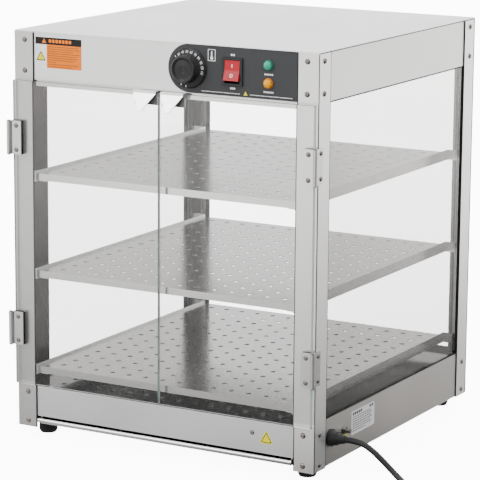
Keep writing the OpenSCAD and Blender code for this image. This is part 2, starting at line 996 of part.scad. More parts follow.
module amber_lamp() {
    color("orange")
        in_case()
            lamp(amber_lamp_z);
}

// ---------- heating and wiring ----------

// Tubular element in four straight runs with three return bends
module heating_element() {
    half_run = heater_run / 2;
    color("dimgray")
        in_case()
            translate([0, 0, heater_z]) {
                for (i = [-1.5 : 1 : 1.5])
                    side_pin([-half_run, i * heater_pitch, 0], heater_r, heater_run);
                for (i = [-1, 1])
                    translate([-half_run, i * heater_pitch, 0])
                        rotate([0, 0, 90])
                            rotate_extrude(angle = 180)
                                translate([heater_pitch / 2, 0])
                                    circle(r = heater_r);
                translate([half_run, 0, 0])
                    rotate([0, 0, -90])
                        rotate_extrude(angle = 180)
                            translate([heater_pitch / 2, 0])
                                circle(r = heater_r);
                for (i = [-1.5, 1.5])
                    side_pin([half_run, i * heater_pitch, 0], 1.6, 14);
            }
}

module heater_brackets() {
    color("gray")
        in_case()
            for (x = [-100, 0, 100])
                difference() {
                    block([x - 0.6, -1.5 * heater_pitch - 12, heater_z - 6],
                          [x + 0.6, 1.5 * heater_pitch + 12, deck_z - sheet_t]);
                    for (i = [-1.5 : 1 : 1.5])
                        side_pin([x - 2, i * heater_pitch, heater_z], heater_r + 0.1, 4);
                }
}

module terminal_block() {
    color("ivory")
        in_case()
            difference() {
                block([inner_x - 14, terminal_ys[0] - 6, block_z - 11],
                      [inner_x, terminal_ys[5] + 6, block_z + 11]);
                for (y = terminal_ys)
                    side_pin([inner_x - 15, y, block_z], 2.4, 8);
            }
}

// Wire k of the three that climb beside the right front post to the controls
module control_wire(k, target_x, target_z, target_y) {
    lane_x = 175 - 4 * k;
    low_z = block_z - 3.5 * k;
    high_z = housing_z + 3.5 + 3.1 * k;
    loom_y = -half_d + 34;
    up = [riser[0] + riser_places[k][0], riser[1] + riser_places[k][1]];
    tube(eased([
        [inner_x - 9, terminal_ys[k + 1], block_z],
        [lane_x, terminal_ys[k + 1], block_z],
        [lane_x, up[1], low_z],
        [up[0], up[1], low_z],
        [up[0], up[1], high_z],
        [up[0], loom_y, high_z],
        [target_x, loom_y, high_z],
        [target_x, loom_y, target_z],
        [target_x, target_y, target_z]
    ]), 1.4, 8);
}

// Internal leads: mains lead, wires to the controls, and the two heater leads
module wiring_loom() {
    clamp_x = inner_x - 9;
    pin_x = heater_run / 2 + 14;
    pin_y = 1.5 * heater_pitch;
    lamp_y = overlay_front_y + 16;
    color("darkred")
        in_case() {
            control_wire(0, knob_x, control_z - 12, -inner_y + 26);
            control_wire(1, rocker_x, control_z - 9, -inner_y + 20);
            control_wire(2, lamp_x + 2, amber_lamp_z, lamp_y);
            tube(eased([
                [lamp_x - 2, lamp_y, amber_lamp_z],
                [lamp_x - 2, lamp_y + 9, amber_lamp_z],
                [lamp_x - 2, lamp_y + 9, green_lamp_z],
                [lamp_x - 2, lamp_y, green_lamp_z]
            ]), 1.4, 8);
            tube(eased([
                [inner_x - 6, gland_y, gland_z],
                [clamp_x - 10, gland_y, gland_z],
                [clamp_x - 10, terminal_ys[0], block_z],
                [clamp_x, terminal_ys[0], block_z]
            ]), 2, 8);
            tube(eased([
                [pin_x, -pin_y, heater_z],
                [pin_x + 12, -pin_y, heater_z],
                [pin_x + 20, terminal_ys[4], block_z],
                [clamp_x, terminal_ys[4], block_z]
            ]), 1.8, 8);
            tube(eased([
                [pin_x, pin_y, heater_z],
                [pin_x + 25, pin_y, heater_z],
                [pin_x + 25, terminal_ys[5], block_z],
                [clamp_x, terminal_ys[5], block_z]
            ]), 1.8, 8);
        }
}

// ---------- cord ----------

module cord_gland() {
    color("black")
        in_case()
            translate([panel_x, gland_y, gland_z])
                rotate([0, 90, 0]) {
                    translate([0, 0, -sheet_t - 6])
                        cylinder(r = 9.5, h = 6, $fn = 6);
                    translate([0, 0, -sheet_t - 1])
                        cylinder(r = 7.8, h = sheet_t + 3);
                    cylinder(r = 10, h = 4);
                    translate([0, 0, 4])
                        cylinder(r1 = 9, r2 = 7.6, h = 7);
                    translate([0, 0, 11])
                        cylinder(r1 = 6.6, r2 = cord_r + 0.9, h = gland_len + 0.2 - 11);
                }
}

module earth_stud() {
    color("darkgray")
        in_case()
            translate([panel_x, earth_y, earth_z])
                rotate([0, 90, 0]) {
                    translate([0, 0, -7])
                        cylinder(r = 2.5, h = 17);
                    translate([0, 0, -5])
                        cylinder(r = 4.6, h = 4, $fn = 6);
                    cylinder(r = 5, h = 0.9);
                    translate([0, 0, 0.9])
                        cylinder(r = 4.6, h = 3.6, $fn = 6);
                }
}

// Smooth curve through hand-placed points: one cubic piece between each pair
function curve_point(a, b, c, d, t) =
    0.5 * ((2 * b) + (c - a) * t + (2 * a - 5 * b + 4 * c - d) * t * t
        + (3 * b - a - 3 * c + d) * t * t * t);

function smooth(points) =
    let (last = len(points) - 1)
    concat([points[0]], [
        for (i = [0 : last - 1])
            let (
                b = points[i],
                c = points[i + 1],
                a = i > 0 ? points[i - 1] : 2 * b - c,
                d = i + 2 <= last ? points[i + 2] : 2 * c - b,
                steps = max(1, round(norm(c - b) / ring_step))
            )
            for (s = [1 : steps])
                curve_point(a, b, c, d, s / steps)
    ]);

function unit(v) = v / norm(v);

function heading(points, i) =
    unit(points[min(i + 1, len(points) - 1)] - points[max(i - 1, 0)]);

// A path through straight stretches, with each corner rounded over bend_reach
function eased(points) =
    let (last = len(points) - 1)
    concat([points[0]], [
        for (i = [1 : last - 1])
            let (
                before = points[i] + bend_reach * unit(points[i - 1] - points[i]),
                after = points[i] + bend_reach * unit(points[i + 1] - points[i])
            )
            for (t = [0 : 0.25 : 1])
                (1 - t) * (1 - t) * before + 2 * t * (1 - t) * points[i] + t * t * after
    ], [points[last]]);

// The oblique reference is never parallel to a cord or wire
function ring(centre, direction, r, sides) =
    let (side = unit(cross(direction, [1, 2, 3])), up = cross(side, direction))
    [for (k = [0 : sides - 1])
        centre + r * (cos(k * 360 / sides) * side + sin(k * 360 / sides) * up)];

module tube(path, r, sides) {
    n = len(path);
    rings = [for (i = [0 : n - 1]) each ring(path[i], heading(path, i), r, sides)];
    walls = [
        for (i = [0 : n - 2])
            for (k = [0 : sides - 1])
                let (next = (k + 1) % sides, low = i * sides, high = low + sides)
                [low + k, low + next, high + next, high + k]
    ];
    first = [for (k = [sides - 1 : -1 : 0]) k];
    last = [for (k = [0 : sides - 1]) (n - 1) * sides + k];
    polyhedron(points = rings, faces = concat([first], walls, [last]), convexity = 8);
}

module power_cord() {
    color("black") {
        tube(smooth(cord_route), cord_r, cord_sides);
        tube(smooth(cord_tail), cord_r, cord_sides);
    }
}

module cord_coil() {
    color("black")
        translate(coil_centre)
            rotate_extrude($fn = 96)
                translate([coil_inner_r, 0])
                    square([coil_outer_r - coil_inner_r, coil_h]);
}

// Moulded plug lying beside the coil, blades pointing to the front
module mains_plug() {
    color("black")
        translate(plug_start)
            rotate([0, -90, 90]) {
                cylinder(r1 = cord_r + 0.8, r2 = 6.5, h = 16);
                translate([-10, -12, 16])
                    cube([20, 24, 30]);
                for (s = [-1, 1])
                    translate([-3 - 0.8, s * 6.35 - 0.75, 46])
                        cube([6.4, 1.5, 16]);
                translate([5.5, 0, 46])
                    cylinder(r = 2.4, h = 18);
            }
}

// ---------- stickers ----------

module stickers() {
    color("orange")
        in_case() {
            block([notice_low[0], -panel_y - sticker_t, notice_low[1]],
                  [notice_high[0], -panel_y, notice_high[1]]);
            translate([base_mark[0], -panel_y, base_mark[1]])
                rotate([90, 0, 0])
                    rotate([0, 0, 90])
                        cylinder(r = base_mark_r, h = sticker_t, $fn = 3);
            block([panel_x, data_label_low[0], data_label_low[1]],
                  [panel_x + sticker_t, data_label_high[0], data_label_high[1]]);
            side_pin([panel_x, earth_y + 5, earth_z - 10.5], earth_mark_r, sticker_t);
        }
}

roof_panel();
front_fascia();
upper_side_panels();
upper_rear_panel();
ceiling_panel();
post(-1, -1);  // post_front_left
post(1, -1);  // post_front_right
post(-1, 1);  // post_rear_left
post(1, 1);  // post_rear_right
base_front_panel();
base_left_panel();
base_right_panel();
base_rear_panel();
bottom_plate();
heater_deck();
shelf(shelf_zs[2]);  // shelf_top
shelf(shelf_zs[1]);  // shelf_middle
shelf(shelf_zs[0]);  // shelf_bottom
shelf_rails();
side_glass();
rear_glass();
glass_seals();
door_glass(-1);  // left_door_glass
door_glass(1);  // right_door_glass
door_handle(-1);  // left_door_handle
door_handle(1);  // right_door_handle
hinge_leaves(-1);  // left_hinge_leaves
hinge_leaves(1);  // right_hinge_leaves
hinge_pads(-1);  // left_hinge_pads
hinge_pads(1);  // right_hinge_pads
hinge_clamps(-1);  // left_hinge_clamps
hinge_clamps(1);  // right_hinge_clamps
hinge_screws(-1);  // left_hinge_screws
hinge_screws(1);  // right_hinge_screws
post_hinge_leaves();
hinge_pins();
post_hinge_screws();
case_screws();
door_magnets();
control_overlay();
thermostat_knob();
thermostat_shaft();
thermostat_body();
thermostat_bulb();
rocker_housing();
rocker_button();
green_lamp();
amber_lamp();
crumb_tray();
rubber_feet();
heating_element();
heater_brackets();
terminal_block();
wiring_loom();
cord_gland();
power_cord();
cord_coil();
mains_plug();
earth_stud();
stickers();
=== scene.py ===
import math

import bmesh
import bpy
from mathutils import Matrix, Vector


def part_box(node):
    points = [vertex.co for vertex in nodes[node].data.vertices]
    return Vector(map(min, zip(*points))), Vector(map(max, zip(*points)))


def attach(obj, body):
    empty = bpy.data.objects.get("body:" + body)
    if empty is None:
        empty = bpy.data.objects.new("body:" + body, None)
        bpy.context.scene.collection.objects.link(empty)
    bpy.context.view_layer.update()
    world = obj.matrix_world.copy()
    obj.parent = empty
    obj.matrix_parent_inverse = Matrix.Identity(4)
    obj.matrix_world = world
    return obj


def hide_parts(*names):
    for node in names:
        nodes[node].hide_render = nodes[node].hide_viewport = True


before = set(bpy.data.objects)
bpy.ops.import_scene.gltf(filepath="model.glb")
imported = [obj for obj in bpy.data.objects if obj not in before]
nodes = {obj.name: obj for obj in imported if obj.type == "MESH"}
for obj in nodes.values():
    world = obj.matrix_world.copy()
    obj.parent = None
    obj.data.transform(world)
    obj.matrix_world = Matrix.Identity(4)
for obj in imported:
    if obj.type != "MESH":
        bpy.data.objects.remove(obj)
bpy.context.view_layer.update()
MM = 0.001


# ---------------------------------------------------------------- camera

CAMERA_PLACE = Vector((1.4177, -2.5252, 0.8200))
CAMERA_AZIMUTH = 29.44
CAMERA_ELEVATION = 11.61
CAMERA_ROLL = -0.41
CAMERA_LENS = 182.7


def make_camera():
    azimuth, elevation = math.radians(CAMERA_AZIMUTH), math.radians(CAMERA_ELEVATION)
    back = Vector((
        math.sin(azimuth) * math.cos(elevation),
        -math.cos(azimuth) * math.cos(elevation),
        math.sin(elevation),
    ))
    right = Vector((math.cos(azimuth), math.sin(azimuth), 0))
    up = back.cross(right)
    turn = Matrix((right, up, back)).transposed().to_4x4()
    roll = Matrix.Rotation(math.radians(-CAMERA_ROLL), 4, "Z")
    data = bpy.data.cameras.new("camera")
    data.lens = CAMERA_LENS
    data.sensor_width = 36
    data.clip_end = 60
    camera = bpy.data.objects.new("camera", data)
    bpy.context.scene.collection.objects.link(camera)
    camera.matrix_world = Matrix.Translation(CAMERA_PLACE) @ turn @ roll
    bpy.context.scene.camera = camera


make_camera()


# ---------------------------------------------------------------- mesh helpers

def link(obj):
    bpy.context.scene.collection.objects.link(obj)
    return obj


def mesh_object(name, bm, material, body, smooth=True, sharp=35):
    """Turns a bmesh into a piece that rides on a body."""
    mesh = bpy.data.meshes.new(name)
    bm.normal_update()
    bm.to_mesh(mesh)
    bm.free()
    mesh.materials.append(material)
    if smooth:
        mesh.shade_smooth()
        mesh.set_sharp_from_angle(angle=math.radians(sharp))
    obj = link(bpy.data.objects.new(name, mesh))
    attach(obj, body)
    return obj


def front_matrix(x, y, z):
    """Local X to the right, local Y up and local Z out of the front of the case."""
    return Matrix.Translation((x, y, z)) @ Matrix.Rotation(math.radians(90), 4, "X")


def side_matrix(x, y, z):
    """Local X towards the rear, local Y up and local Z out of the right side."""
    return Matrix.Translation((x, y, z)) @ Matrix(
        ((0, 0, 1, 0), (1, 0, 0, 0), (0, 1, 0, 0), (0, 0, 0, 1))
    )


def add_plate(bm, outline, low, high, place=Matrix.Identity(4)):
    """A flat plate with the outline's shape, between two heights."""
    bottom = [bm.verts.new(place @ Vector((x, y, low))) for x, y in outline]
    top = [bm.verts.new(place @ Vector((x, y, high))) for x, y in outline]
    count = len(outline)
    bm.faces.new(top)
    bm.faces.new(bottom[::-1])
    for i in range(count):
        j = (i + 1) % count
        bm.faces.new((bottom[i], bottom[j], top[j], top[i]))


def rounded_box(x0, y0, x1, y1, radius=0.0, steps=5):
    """Outline of a rectangle with round corners."""
    if radius <= 0:
        return [(x0, y0), (x1, y0), (x1, y1), (x0, y1)]
    points = []
    for cx, cy, start in (
        (x1 - radius, y0 + radius, -90), (x1 - radius, y1 - radius, 0),
        (x0 + radius, y1 - radius, 90), (x0 + radius, y0 + radius, 180),
    ):
        for i in range(steps + 1):
            angle = math.radians(start + 90 * i / steps)
            points.append((cx + radius * math.cos(angle), cy + radius * math.sin(angle)))
    return points


def circle_outline(x, y, radius, steps=32):
    turns = [2 * math.pi * i / steps for i in range(steps)]
    return [(x + radius * math.cos(t), y + radius * math.sin(t)) for t in turns]


def triangle_outline(x, y, radius, corner=0.0):
    """Upright triangle with slightly rounded corners."""
    points = []
    for k in range(3):
        middle = math.radians(90 + 120 * k)
        cx = x + (radius - 2 * corner) * math.cos(middle)
        cy = y + (radius - 2 * corner) * math.sin(middle)
        for i in range(5):
            angle = middle + math.radians(-60 + 30 * i)
            points.append((cx + corner * math.cos(angle), cy + corner * math.sin(angle)))
    return points


def add_ring_plate(bm, outer, inner, low, high, place=Matrix.Identity(4)):
    """A flat frame between two outlines with the same number of points."""
    rows = [
        [bm.verts.new(place @ Vector((x, y, h))) for x, y in outline]
        for outline, h in ((outer, low), (outer, high), (inner, high), (inner, low))
    ]
    count = len(outer)
    for a in range(4):
        b = (a + 1) % 4
        for i in range(count):
            j = (i + 1) % count
            bm.faces.new((rows[a][i], rows[a][j], rows[b][j], rows[b][i]))


def add_lathe(bm, profile, place=Matrix.Identity(4), steps=64, ripple=None):
    """Turns a profile of (radius, height) pairs round local Z. A zero radius closes the end."""
    rings = []
    for radius, height in profile:
        if radius <= 0:
            rings.append([bm.verts.new(place @ Vector((0, 0, height)))])
            continue
        ring = []
        for i in range(steps):
            angle = 2 * math.pi * i / steps
            r, h = (radius, height) if ripple is None else ripple(radius, height, angle)
            ring.append(bm.verts.new(place @ Vector((r * math.cos(angle), r * math.sin(angle), h))))
        rings.append(ring)
    for low, high in zip(rings, rings[1:]):
        for i in range(steps):
            j = (i + 1) % steps
            if len(low) == 1:
                bm.faces.new((low[0], high[i], high[j]))
            elif len(high) == 1:
                bm.faces.new((low[i], low[j], high[0]))
            else:
                bm.faces.new((low[i], low[j], high[j], high[i]))


def add_loft(bm, sections, place=Matrix.Identity(4)):
    """Skins rings of points, each given as (height, outline), and closes both ends."""
    rings = [
        [bm.verts.new(place @ Vector((x, y, height))) for x, y in outline]
        for height, outline in sections
    ]
    count = len(rings[0])
    for low, high in zip(rings, rings[1:]):
        for i in range(count):
            j = (i + 1) % count
            bm.faces.new((low[i], low[j], high[j], high[i]))
    bm.faces.new(rings[0][::-1])
    bm.faces.new(rings[-1])


# ---------------------------------------------------------------- material helpers

class NodeTree:
    """A node tree with a short way to add math nodes."""

    def __init__(self, tree):
        self.tree = tree

    def math(self, operation, *values):
        node = self.tree.nodes.new("ShaderNodeMath")
        node.operation = operation
        for index, value in enumerate(values):
            if isinstance(value, (int, float)):
                node.inputs[index].default_value = value
            else:
                self.tree.links.new(value, node.inputs[index])
        return node.outputs[0]


class Shader(NodeTree):
    """A Principled material with short ways to add texture nodes."""

    def __init__(self, name, color, roughness, metallic, **sockets):
        self.material = bpy.data.materials.new(name)
        self.material.use_nodes = True
        super().__init__(self.material.node_tree)
        self.shader = self.tree.nodes["Principled BSDF"]
        self.output = self.tree.nodes["Material Output"]
        self.set("Base Color", (*color, 1))
        self.set("Roughness", roughness)
        self.set("Metallic", metallic)
        for socket, value in sockets.items():
            self.set(socket.replace("_", " ").title().replace("Ior", "IOR"), value)

    def set(self, socket, value):
        self.shader.inputs[socket].default_value = value

    def node(self, kind, **settings):
        made = self.tree.nodes.new(kind)
        for key, value in settings.items():
            setattr(made, key, value)
        return made

    def wire(self, source, target):
        self.tree.links.new(source, target)

    def noise(self, scale, stretch=(1, 1, 1), detail=4, roughness=0.55):
        """Noise in object space, with features about 1/scale metres across."""
        coordinates = self.node("ShaderNodeTexCoord")
        mapping = self.node("ShaderNodeMapping")
        mapping.inputs["Scale"].default_value = stretch
        texture = self.node("ShaderNodeTexNoise")
        texture.inputs["Scale"].default_value = scale
        texture.inputs["Detail"].default_value = detail
        texture.inputs["Roughness"].default_value = roughness
        self.wire(coordinates.outputs["Object"], mapping.inputs["Vector"])
        self.wire(mapping.outputs["Vector"], texture.inputs["Vector"])
        return texture.outputs["Fac"]

    def spread(self, factor, low, high):
        """Maps a 0 to 1 factor onto a range of numbers."""
        node = self.node("ShaderNodeMapRange")
        node.inputs["From Min"].default_value = 0.25
        node.inputs["From Max"].default_value = 0.75
        node.inputs["To Min"].default_value = low
        node.inputs["To Max"].default_value = high
        self.wire(factor, node.inputs["Value"])
        return node.outputs["Result"]

    def blend(self, factor, first, second):
        """Mixes two colours, each a triple or a socket."""
        node = self.node("ShaderNodeMix", data_type="RGBA")
        self.wire(factor, node.inputs["Factor"])
        for index, value in ((6, first), (7, second)):
            if isinstance(value, tuple):
                node.inputs[index].default_value = (*value, 1)
            else:
                self.wire(value, node.inputs[index])
        return node.outputs[2]

    def bump(self, height, distance):
        node = self.node("ShaderNodeBump")
        node.inputs["Distance"].default_value = distance
        self.wire(height, node.inputs["Height"])
        self.wire(node.outputs["Normal"], self.shader.inputs["Normal"])

    def facing(self, axis):
        """1 on faces square to an axis of the object (0, 1 or 2), and 0 on the others."""
        coordinates = self.node("ShaderNodeTexCoord")
        split = self.node("ShaderNodeSeparateXYZ")
        self.wire(coordinates.outputs["Normal"], split.inputs[0])
        return self.math("GREATER_THAN", self.math("ABSOLUTE", split.outputs[axis]), 0.5)

    def color(self, socket):
        self.wire(socket, self.shader.inputs["Base Color"])

    def rough(self, socket):
        self.wire(socket, self.shader.inputs["Roughness"])


GRAIN_DEPTH = 0.0000012
# noise stretch for a grain that runs along each axis
GRAIN = {"x": (1, 45, 45), "y": (45, 1, 45), "z": (45, 45, 1)}


def steel(name, color, roughness, grain, shade=0.06, satin_sides=False):
    """Brushed stainless steel with its grain along one axis, faint smudges and, if asked, duller sides."""
    s = Shader(name, color, roughness, 1.0)
    streaks = s.noise(28, GRAIN[grain], detail=6, roughness=0.7)
    smudges = s.noise(9, detail=3)
    darker = tuple(c * (1 - shade) for c in color)
    brighter = tuple(min(1.0, c * (1 + 0.5 * shade)) for c in color)
    s.color(s.blend(streaks, darker, brighter))
    fine = s.spread(streaks, -0.05, 0.05)
    coarse = s.spread(smudges, roughness - 0.035, roughness + 0.035)
    s.rough(s.math("ADD", fine, coarse))
    if satin_sides:
        shine = s.math("SUBTRACT", 1.0, s.math("MULTIPLY", s.facing(0), 0.5))
        s.wire(shine, s.shader.inputs["Metallic"])
    s.bump(streaks, GRAIN_DEPTH)
    return s.material


def plastic(name, color, roughness, grain_scale=900, grain_depth=0.00002, **sockets):
    """Moulded plastic with a fine surface grain and slight changes of gloss."""
    s = Shader(name, color, roughness, 0.0, **sockets)
    smudges = s.noise(60, detail=3)
    darker = tuple(c * 0.85 for c in color)
    brighter = tuple(min(1.0, c * 1.12 + 0.002) for c in color)
    s.color(s.blend(smudges, darker, brighter))
    s.rough(s.spread(smudges, roughness - 0.05, roughness + 0.06))
    s.bump(s.noise(grain_scale, detail=2), grain_depth)
    return s.material


def clear_glass(name, tint, edge_tint, axis):
    """Float glass: clear through its faces, greener and denser through its cut edges."""
    s = Shader(name, tint, 0.0, 0.0)
    s.set("Transmission Weight", 1.0)
    s.set("IOR", 1.45)
    s.color(s.blend(s.facing(axis), edge_tint, tint))
    paths = s.node("ShaderNodeLightPath")
    clear = s.node("ShaderNodeBsdfTransparent")
    clear.inputs["Color"].default_value = (*tint, 1)
    mix = s.node("ShaderNodeMixShader")
    s.wire(paths.outputs["Is Shadow Ray"], mix.inputs[0])
    s.wire(s.shader.outputs[0], mix.inputs[1])
    s.wire(clear.outputs[0], mix.inputs[2])
    s.wire(mix.outputs[0], s.output.inputs["Surface"])
    return s.material


# ---------------------------------------------------------------- materials

FRONT_STEEL = steel("front_steel", (0.80, 0.80, 0.79), 0.34, "x")
ROOF_STEEL = steel("roof_steel", (0.90, 0.90, 0.89), 0.36, "x")
SIDE_STEEL = steel("side_steel", (0.71, 0.70, 0.69), 0.33, "y")
POST_STEEL = steel("post_steel", (0.82, 0.81, 0.80), 0.32, "z")
# darker copies of the post steel for the two left posts: painted shade, deepest on the rear left post
LEFT_POST_STEEL_PAINTED_SHADE = steel("left_post_steel_painted_shade", (0.57, 0.57, 0.56), 0.32, "z")
REAR_LEFT_POST_PAINTED_SHADE = steel("rear_left_post_painted_shade", (0.34, 0.33, 0.33), 0.32, "z")
BASE_FRONT_STEEL = steel("base_front_steel", (0.70, 0.70, 0.70), 0.36, "x")
# darker, browner copy of the base steel for the base's side panels: painted shade and a painted brownish
# floor reflection
BASE_SIDE_STEEL_PAINTED_SHADE = steel("base_side_painted_shade", (0.47, 0.45, 0.43), 0.36, "y")
SHELF_STEEL = steel("shelf_steel", (0.62, 0.61, 0.60), 0.19, "x", satin_sides=True)
RAIL_STEEL = steel("rail_steel", (0.72, 0.72, 0.71), 0.27, "y")
MIRROR_STEEL = steel("mirror_steel", (0.16, 0.16, 0.16), 0.12, "x")
TRAY_STEEL = steel("tray_steel", (0.78, 0.78, 0.77), 0.17, "x")
CLIP_STEEL = steel("clip_steel", (0.82, 0.82, 0.81), 0.25, "x")
HINGE_STEEL = steel("hinge_steel", (0.66, 0.66, 0.65), 0.22, "z")
SCREW_STEEL = steel("screw_steel", (0.28, 0.25, 0.235), 0.11, "z", shade=0.03)
DARK_STEEL = steel("oxidised_steel", (0.22, 0.21, 0.20), 0.42, "x", shade=0.25)
STUD_STEEL = steel("stud_steel", (0.25, 0.25, 0.24), 0.28, "z")
COPPER = steel("copper", (0.80, 0.48, 0.32), 0.25, "x", shade=0.15)
BRASS = steel("brass", (0.80, 0.66, 0.40), 0.25, "x", shade=0.1)
DOOR_GLASS = clear_glass("door_glass", (0.985, 0.995, 0.99), (0.45, 0.62, 0.58), 1)
SIDE_GLASS = clear_glass("side_glass", (0.72, 0.70, 0.695), (0.45, 0.62, 0.58), 0)
SEAL = plastic("seal_rubber", (0.006, 0.006, 0.006), 0.6, specular_ior_level=0.2)
FOOT_RUBBER = plastic("foot_rubber", (0.006, 0.006, 0.006), 0.42, specular_ior_level=0.25)
MAGNET = plastic("magnet_black", (0.03, 0.03, 0.03), 0.5)
OVERLAY = plastic("overlay_film", (0.020, 0.021, 0.023), 0.46, 1600, 0.00001, specular_ior_level=0.4)
KNOB = plastic("knob_black", (0.005, 0.005, 0.005), 0.24, 1200, 0.000008, specular_ior_level=0.3)
BAKELITE = plastic("phenolic", (0.30, 0.20, 0.12), 0.5)
SWITCH = plastic("switch_black", (0.005, 0.005, 0.005), 0.27, 1200, 0.000008, specular_ior_level=0.3)
ROCKER = plastic(
    "rocker_red", (0.40, 0.002, 0.010), 0.2, 700, 0.000006,
    specular_ior_level=0.3, coat_weight=0.15, coat_roughness=0.08,
)
LENS_GREEN = plastic("lens_green", (0.035, 0.36, 0.23), 0.2, 800, 0.00001, specular_ior_level=0.4)
LENS_AMBER = plastic("lens_amber", (0.98, 0.42, 0.002), 0.2, 800, 0.00001, specular_ior_level=0.4)
COLLAR_GREEN = plastic("collar_green", (0.012, 0.13, 0.09), 0.22)
COLLAR_AMBER = plastic("collar_amber", (0.55, 0.16, 0.008), 0.22)
CERAMIC = plastic("ceramic", (0.75, 0.72, 0.64), 0.3)
WIRE_RED = plastic("silicone_red", (0.35, 0.03, 0.025), 0.5)
GLAND = plastic("gland_black", (0.007, 0.007, 0.007), 0.38, specular_ior_level=0.3)
CORD = plastic("cord_black", (0.007, 0.007, 0.007), 0.38, 1500, 0.00002, specular_ior_level=0.3)
PLUG = plastic("plug_black", (0.014, 0.014, 0.014), 0.4)
TIE = plastic("tie_black", (0.02, 0.02, 0.02), 0.35)
INK_WHITE = plastic("ink_white", (0.90, 0.90, 0.89), 0.5)
INK_BLACK = plastic("ink_black", (0.012, 0.012, 0.012), 0.45, specular_ior_level=0.15)
INK_GREY = plastic("ink_grey", (0.08, 0.08, 0.08), 0.45, specular_ior_level=0.2)
INK_BROWN = plastic("ink_brown", (0.30, 0.07, 0.01), 0.45, specular_ior_level=0.2)
VINYL_ORANGE = plastic("vinyl_orange", (0.90, 0.21, 0.012), 0.45, specular_ior_level=0.12)
VINYL_WHITE = plastic("vinyl_white", (0.95, 0.95, 0.95), 0.35)
VINYL_YELLOW = plastic("vinyl_yellow", (0.80, 0.72, 0.012), 0.45, specular_ior_level=0.12)
VINYL_SILVER = plastic("vinyl_silver", (0.66, 0.66, 0.66), 0.35, specular_ior_level=0.3)
GLASS_EDGE = plastic("glass_edge", (0.42, 0.50, 0.48), 0.25)
LINER_STEEL = steel("liner_steel", (0.08, 0.07, 0.067), 0.25, "z", shade=0.25)

NODE_MATERIALS = {
    "roof_panel": ROOF_STEEL,
    "front_fascia": FRONT_STEEL,
    "upper_side_panels": SIDE_STEEL,
    "upper_rear_panel": FRONT_STEEL,
    "ceiling_panel": SHELF_STEEL,
    "base_front_panel": BASE_FRONT_STEEL,
    "base_left_panel": BASE_SIDE_STEEL_PAINTED_SHADE,
    "base_right_panel": BASE_SIDE_STEEL_PAINTED_SHADE,
    "base_rear_panel": BASE_FRONT_STEEL,
    "bottom_plate": BASE_FRONT_STEEL,
    "heater_deck": MIRROR_STEEL,
    "shelf_top": SHELF_STEEL,
    "shelf_middle": SHELF_STEEL,
    "shelf_bottom": SHELF_STEEL,
    "shelf_rails": RAIL_STEEL,
    "side_glass": SIDE_GLASS,
    "rear_glass": DOOR_GLASS,
    "glass_seals": SEAL,
    "post_hinge_leaves": HINGE_STEEL,
    "hinge_pins": SCREW_STEEL,
    "post_hinge_screws": SCREW_STEEL,
    "case_screws": SCREW_STEEL,
    "door_magnets": MAGNET,
    "control_overlay": OVERLAY,
    "thermostat_knob": KNOB,
    "thermostat_shaft": SCREW_STEEL,
    "thermostat_body": BAKELITE,
    "thermostat_bulb": COPPER,
    "rocker_housing": SWITCH,
    "rocker_button": ROCKER,
    "green_lamp": LENS_GREEN,
    "amber_lamp": LENS_AMBER,
    "crumb_tray": TRAY_STEEL,
    "rubber_feet": FOOT_RUBBER,
    "heating_element": DARK_STEEL,
    "heater_brackets": RAIL_STEEL,
    "terminal_block": CERAMIC,
    "wiring_loom": WIRE_RED,
    "cord_gland": GLAND,
    "power_cord": CORD,
    "cord_coil": CORD,
    "mains_plug": PLUG,
    "earth_stud": STUD_STEEL,
    "stickers": VINYL_ORANGE,
}
NODE_MATERIALS["post_front_right"] = POST_STEEL
NODE_MATERIALS["post_rear_right"] = POST_STEEL
NODE_MATERIALS["post_front_left"] = LEFT_POST_STEEL_PAINTED_SHADE
NODE_MATERIALS["post_rear_left"] = REAR_LEFT_POST_PAINTED_SHADE
for side in ("left", "right"):
    NODE_MATERIALS[side + "_door_glass"] = DOOR_GLASS
    NODE_MATERIALS[side + "_door_handle"] = CLIP_STEEL
    NODE_MATERIALS[side + "_hinge_leaves"] = HINGE_STEEL
    NODE_MATERIALS[side + "_hinge_pads"] = SEAL
    NODE_MATERIALS[side + "_hinge_clamps"] = DARK_STEEL
    NODE_MATERIALS[side + "_hinge_screws"] = SCREW_STEEL

for name, obj in nodes.items():
    obj.data.materials.clear()
    obj.data.materials.append(NODE_MATERIALS[name])


# ---------------------------------------------------------------- power cord

CORD_DIAMETER = 7 * MM
# points of the route and sizes of the coil, in millimetres
CORD_ROUTE = [
    (219, -155, 45), (229, -155, 45), (240, -155, 43.3), (250, -155, 39), (259, -155, 33),
    (268, -155, 26), (277, -155.7, 19), (287, -157.8, 12.3), (298, -162.1, 7.2),
    (309.5, -169, 4.4), (320, -177.7, 3.6), (328.6, -188.9, 3.6), (335, -201.5, 3.6),
    (338.8, -215, 3.6), (340, -229, 3.6), (340, -240, 3.6),
]
CORD_TAIL = [(340, -260, 10.9), (340, -269, 11), (340, -278, 11), (340, -287, 11), (340, -296, 11)]
COIL_CENTRE = (295, -250)
COIL_RADII = (45, 38, 31)
COIL_HEIGHTS = (3.6, 10.65)
COIL_TURNS = 5
COIL_STEP = 22.5
# start and end angle of each move of the coil: twice inwards, up a layer and twice outwards
FIRST_IN, SECOND_IN = (262, 328), (622, 688)
RISE = (956, 1018)
FIRST_OUT, SECOND_OUT = (1290, 1360), (1650, 1720)
PLUG_AXIS_Z = 11 * MM
# along the plug and across it, in millimetres
PLUG_FACE = 45.9
BLADE_X = 6.35
BLADE_TIP = 61.9


def ease(value, start, end):
    """0 before start, 1 after end and a smooth step between them."""
    t = min(1.0, max(0.0, (value - start) / (end - start)))
    return t * t * (3 - 2 * t)


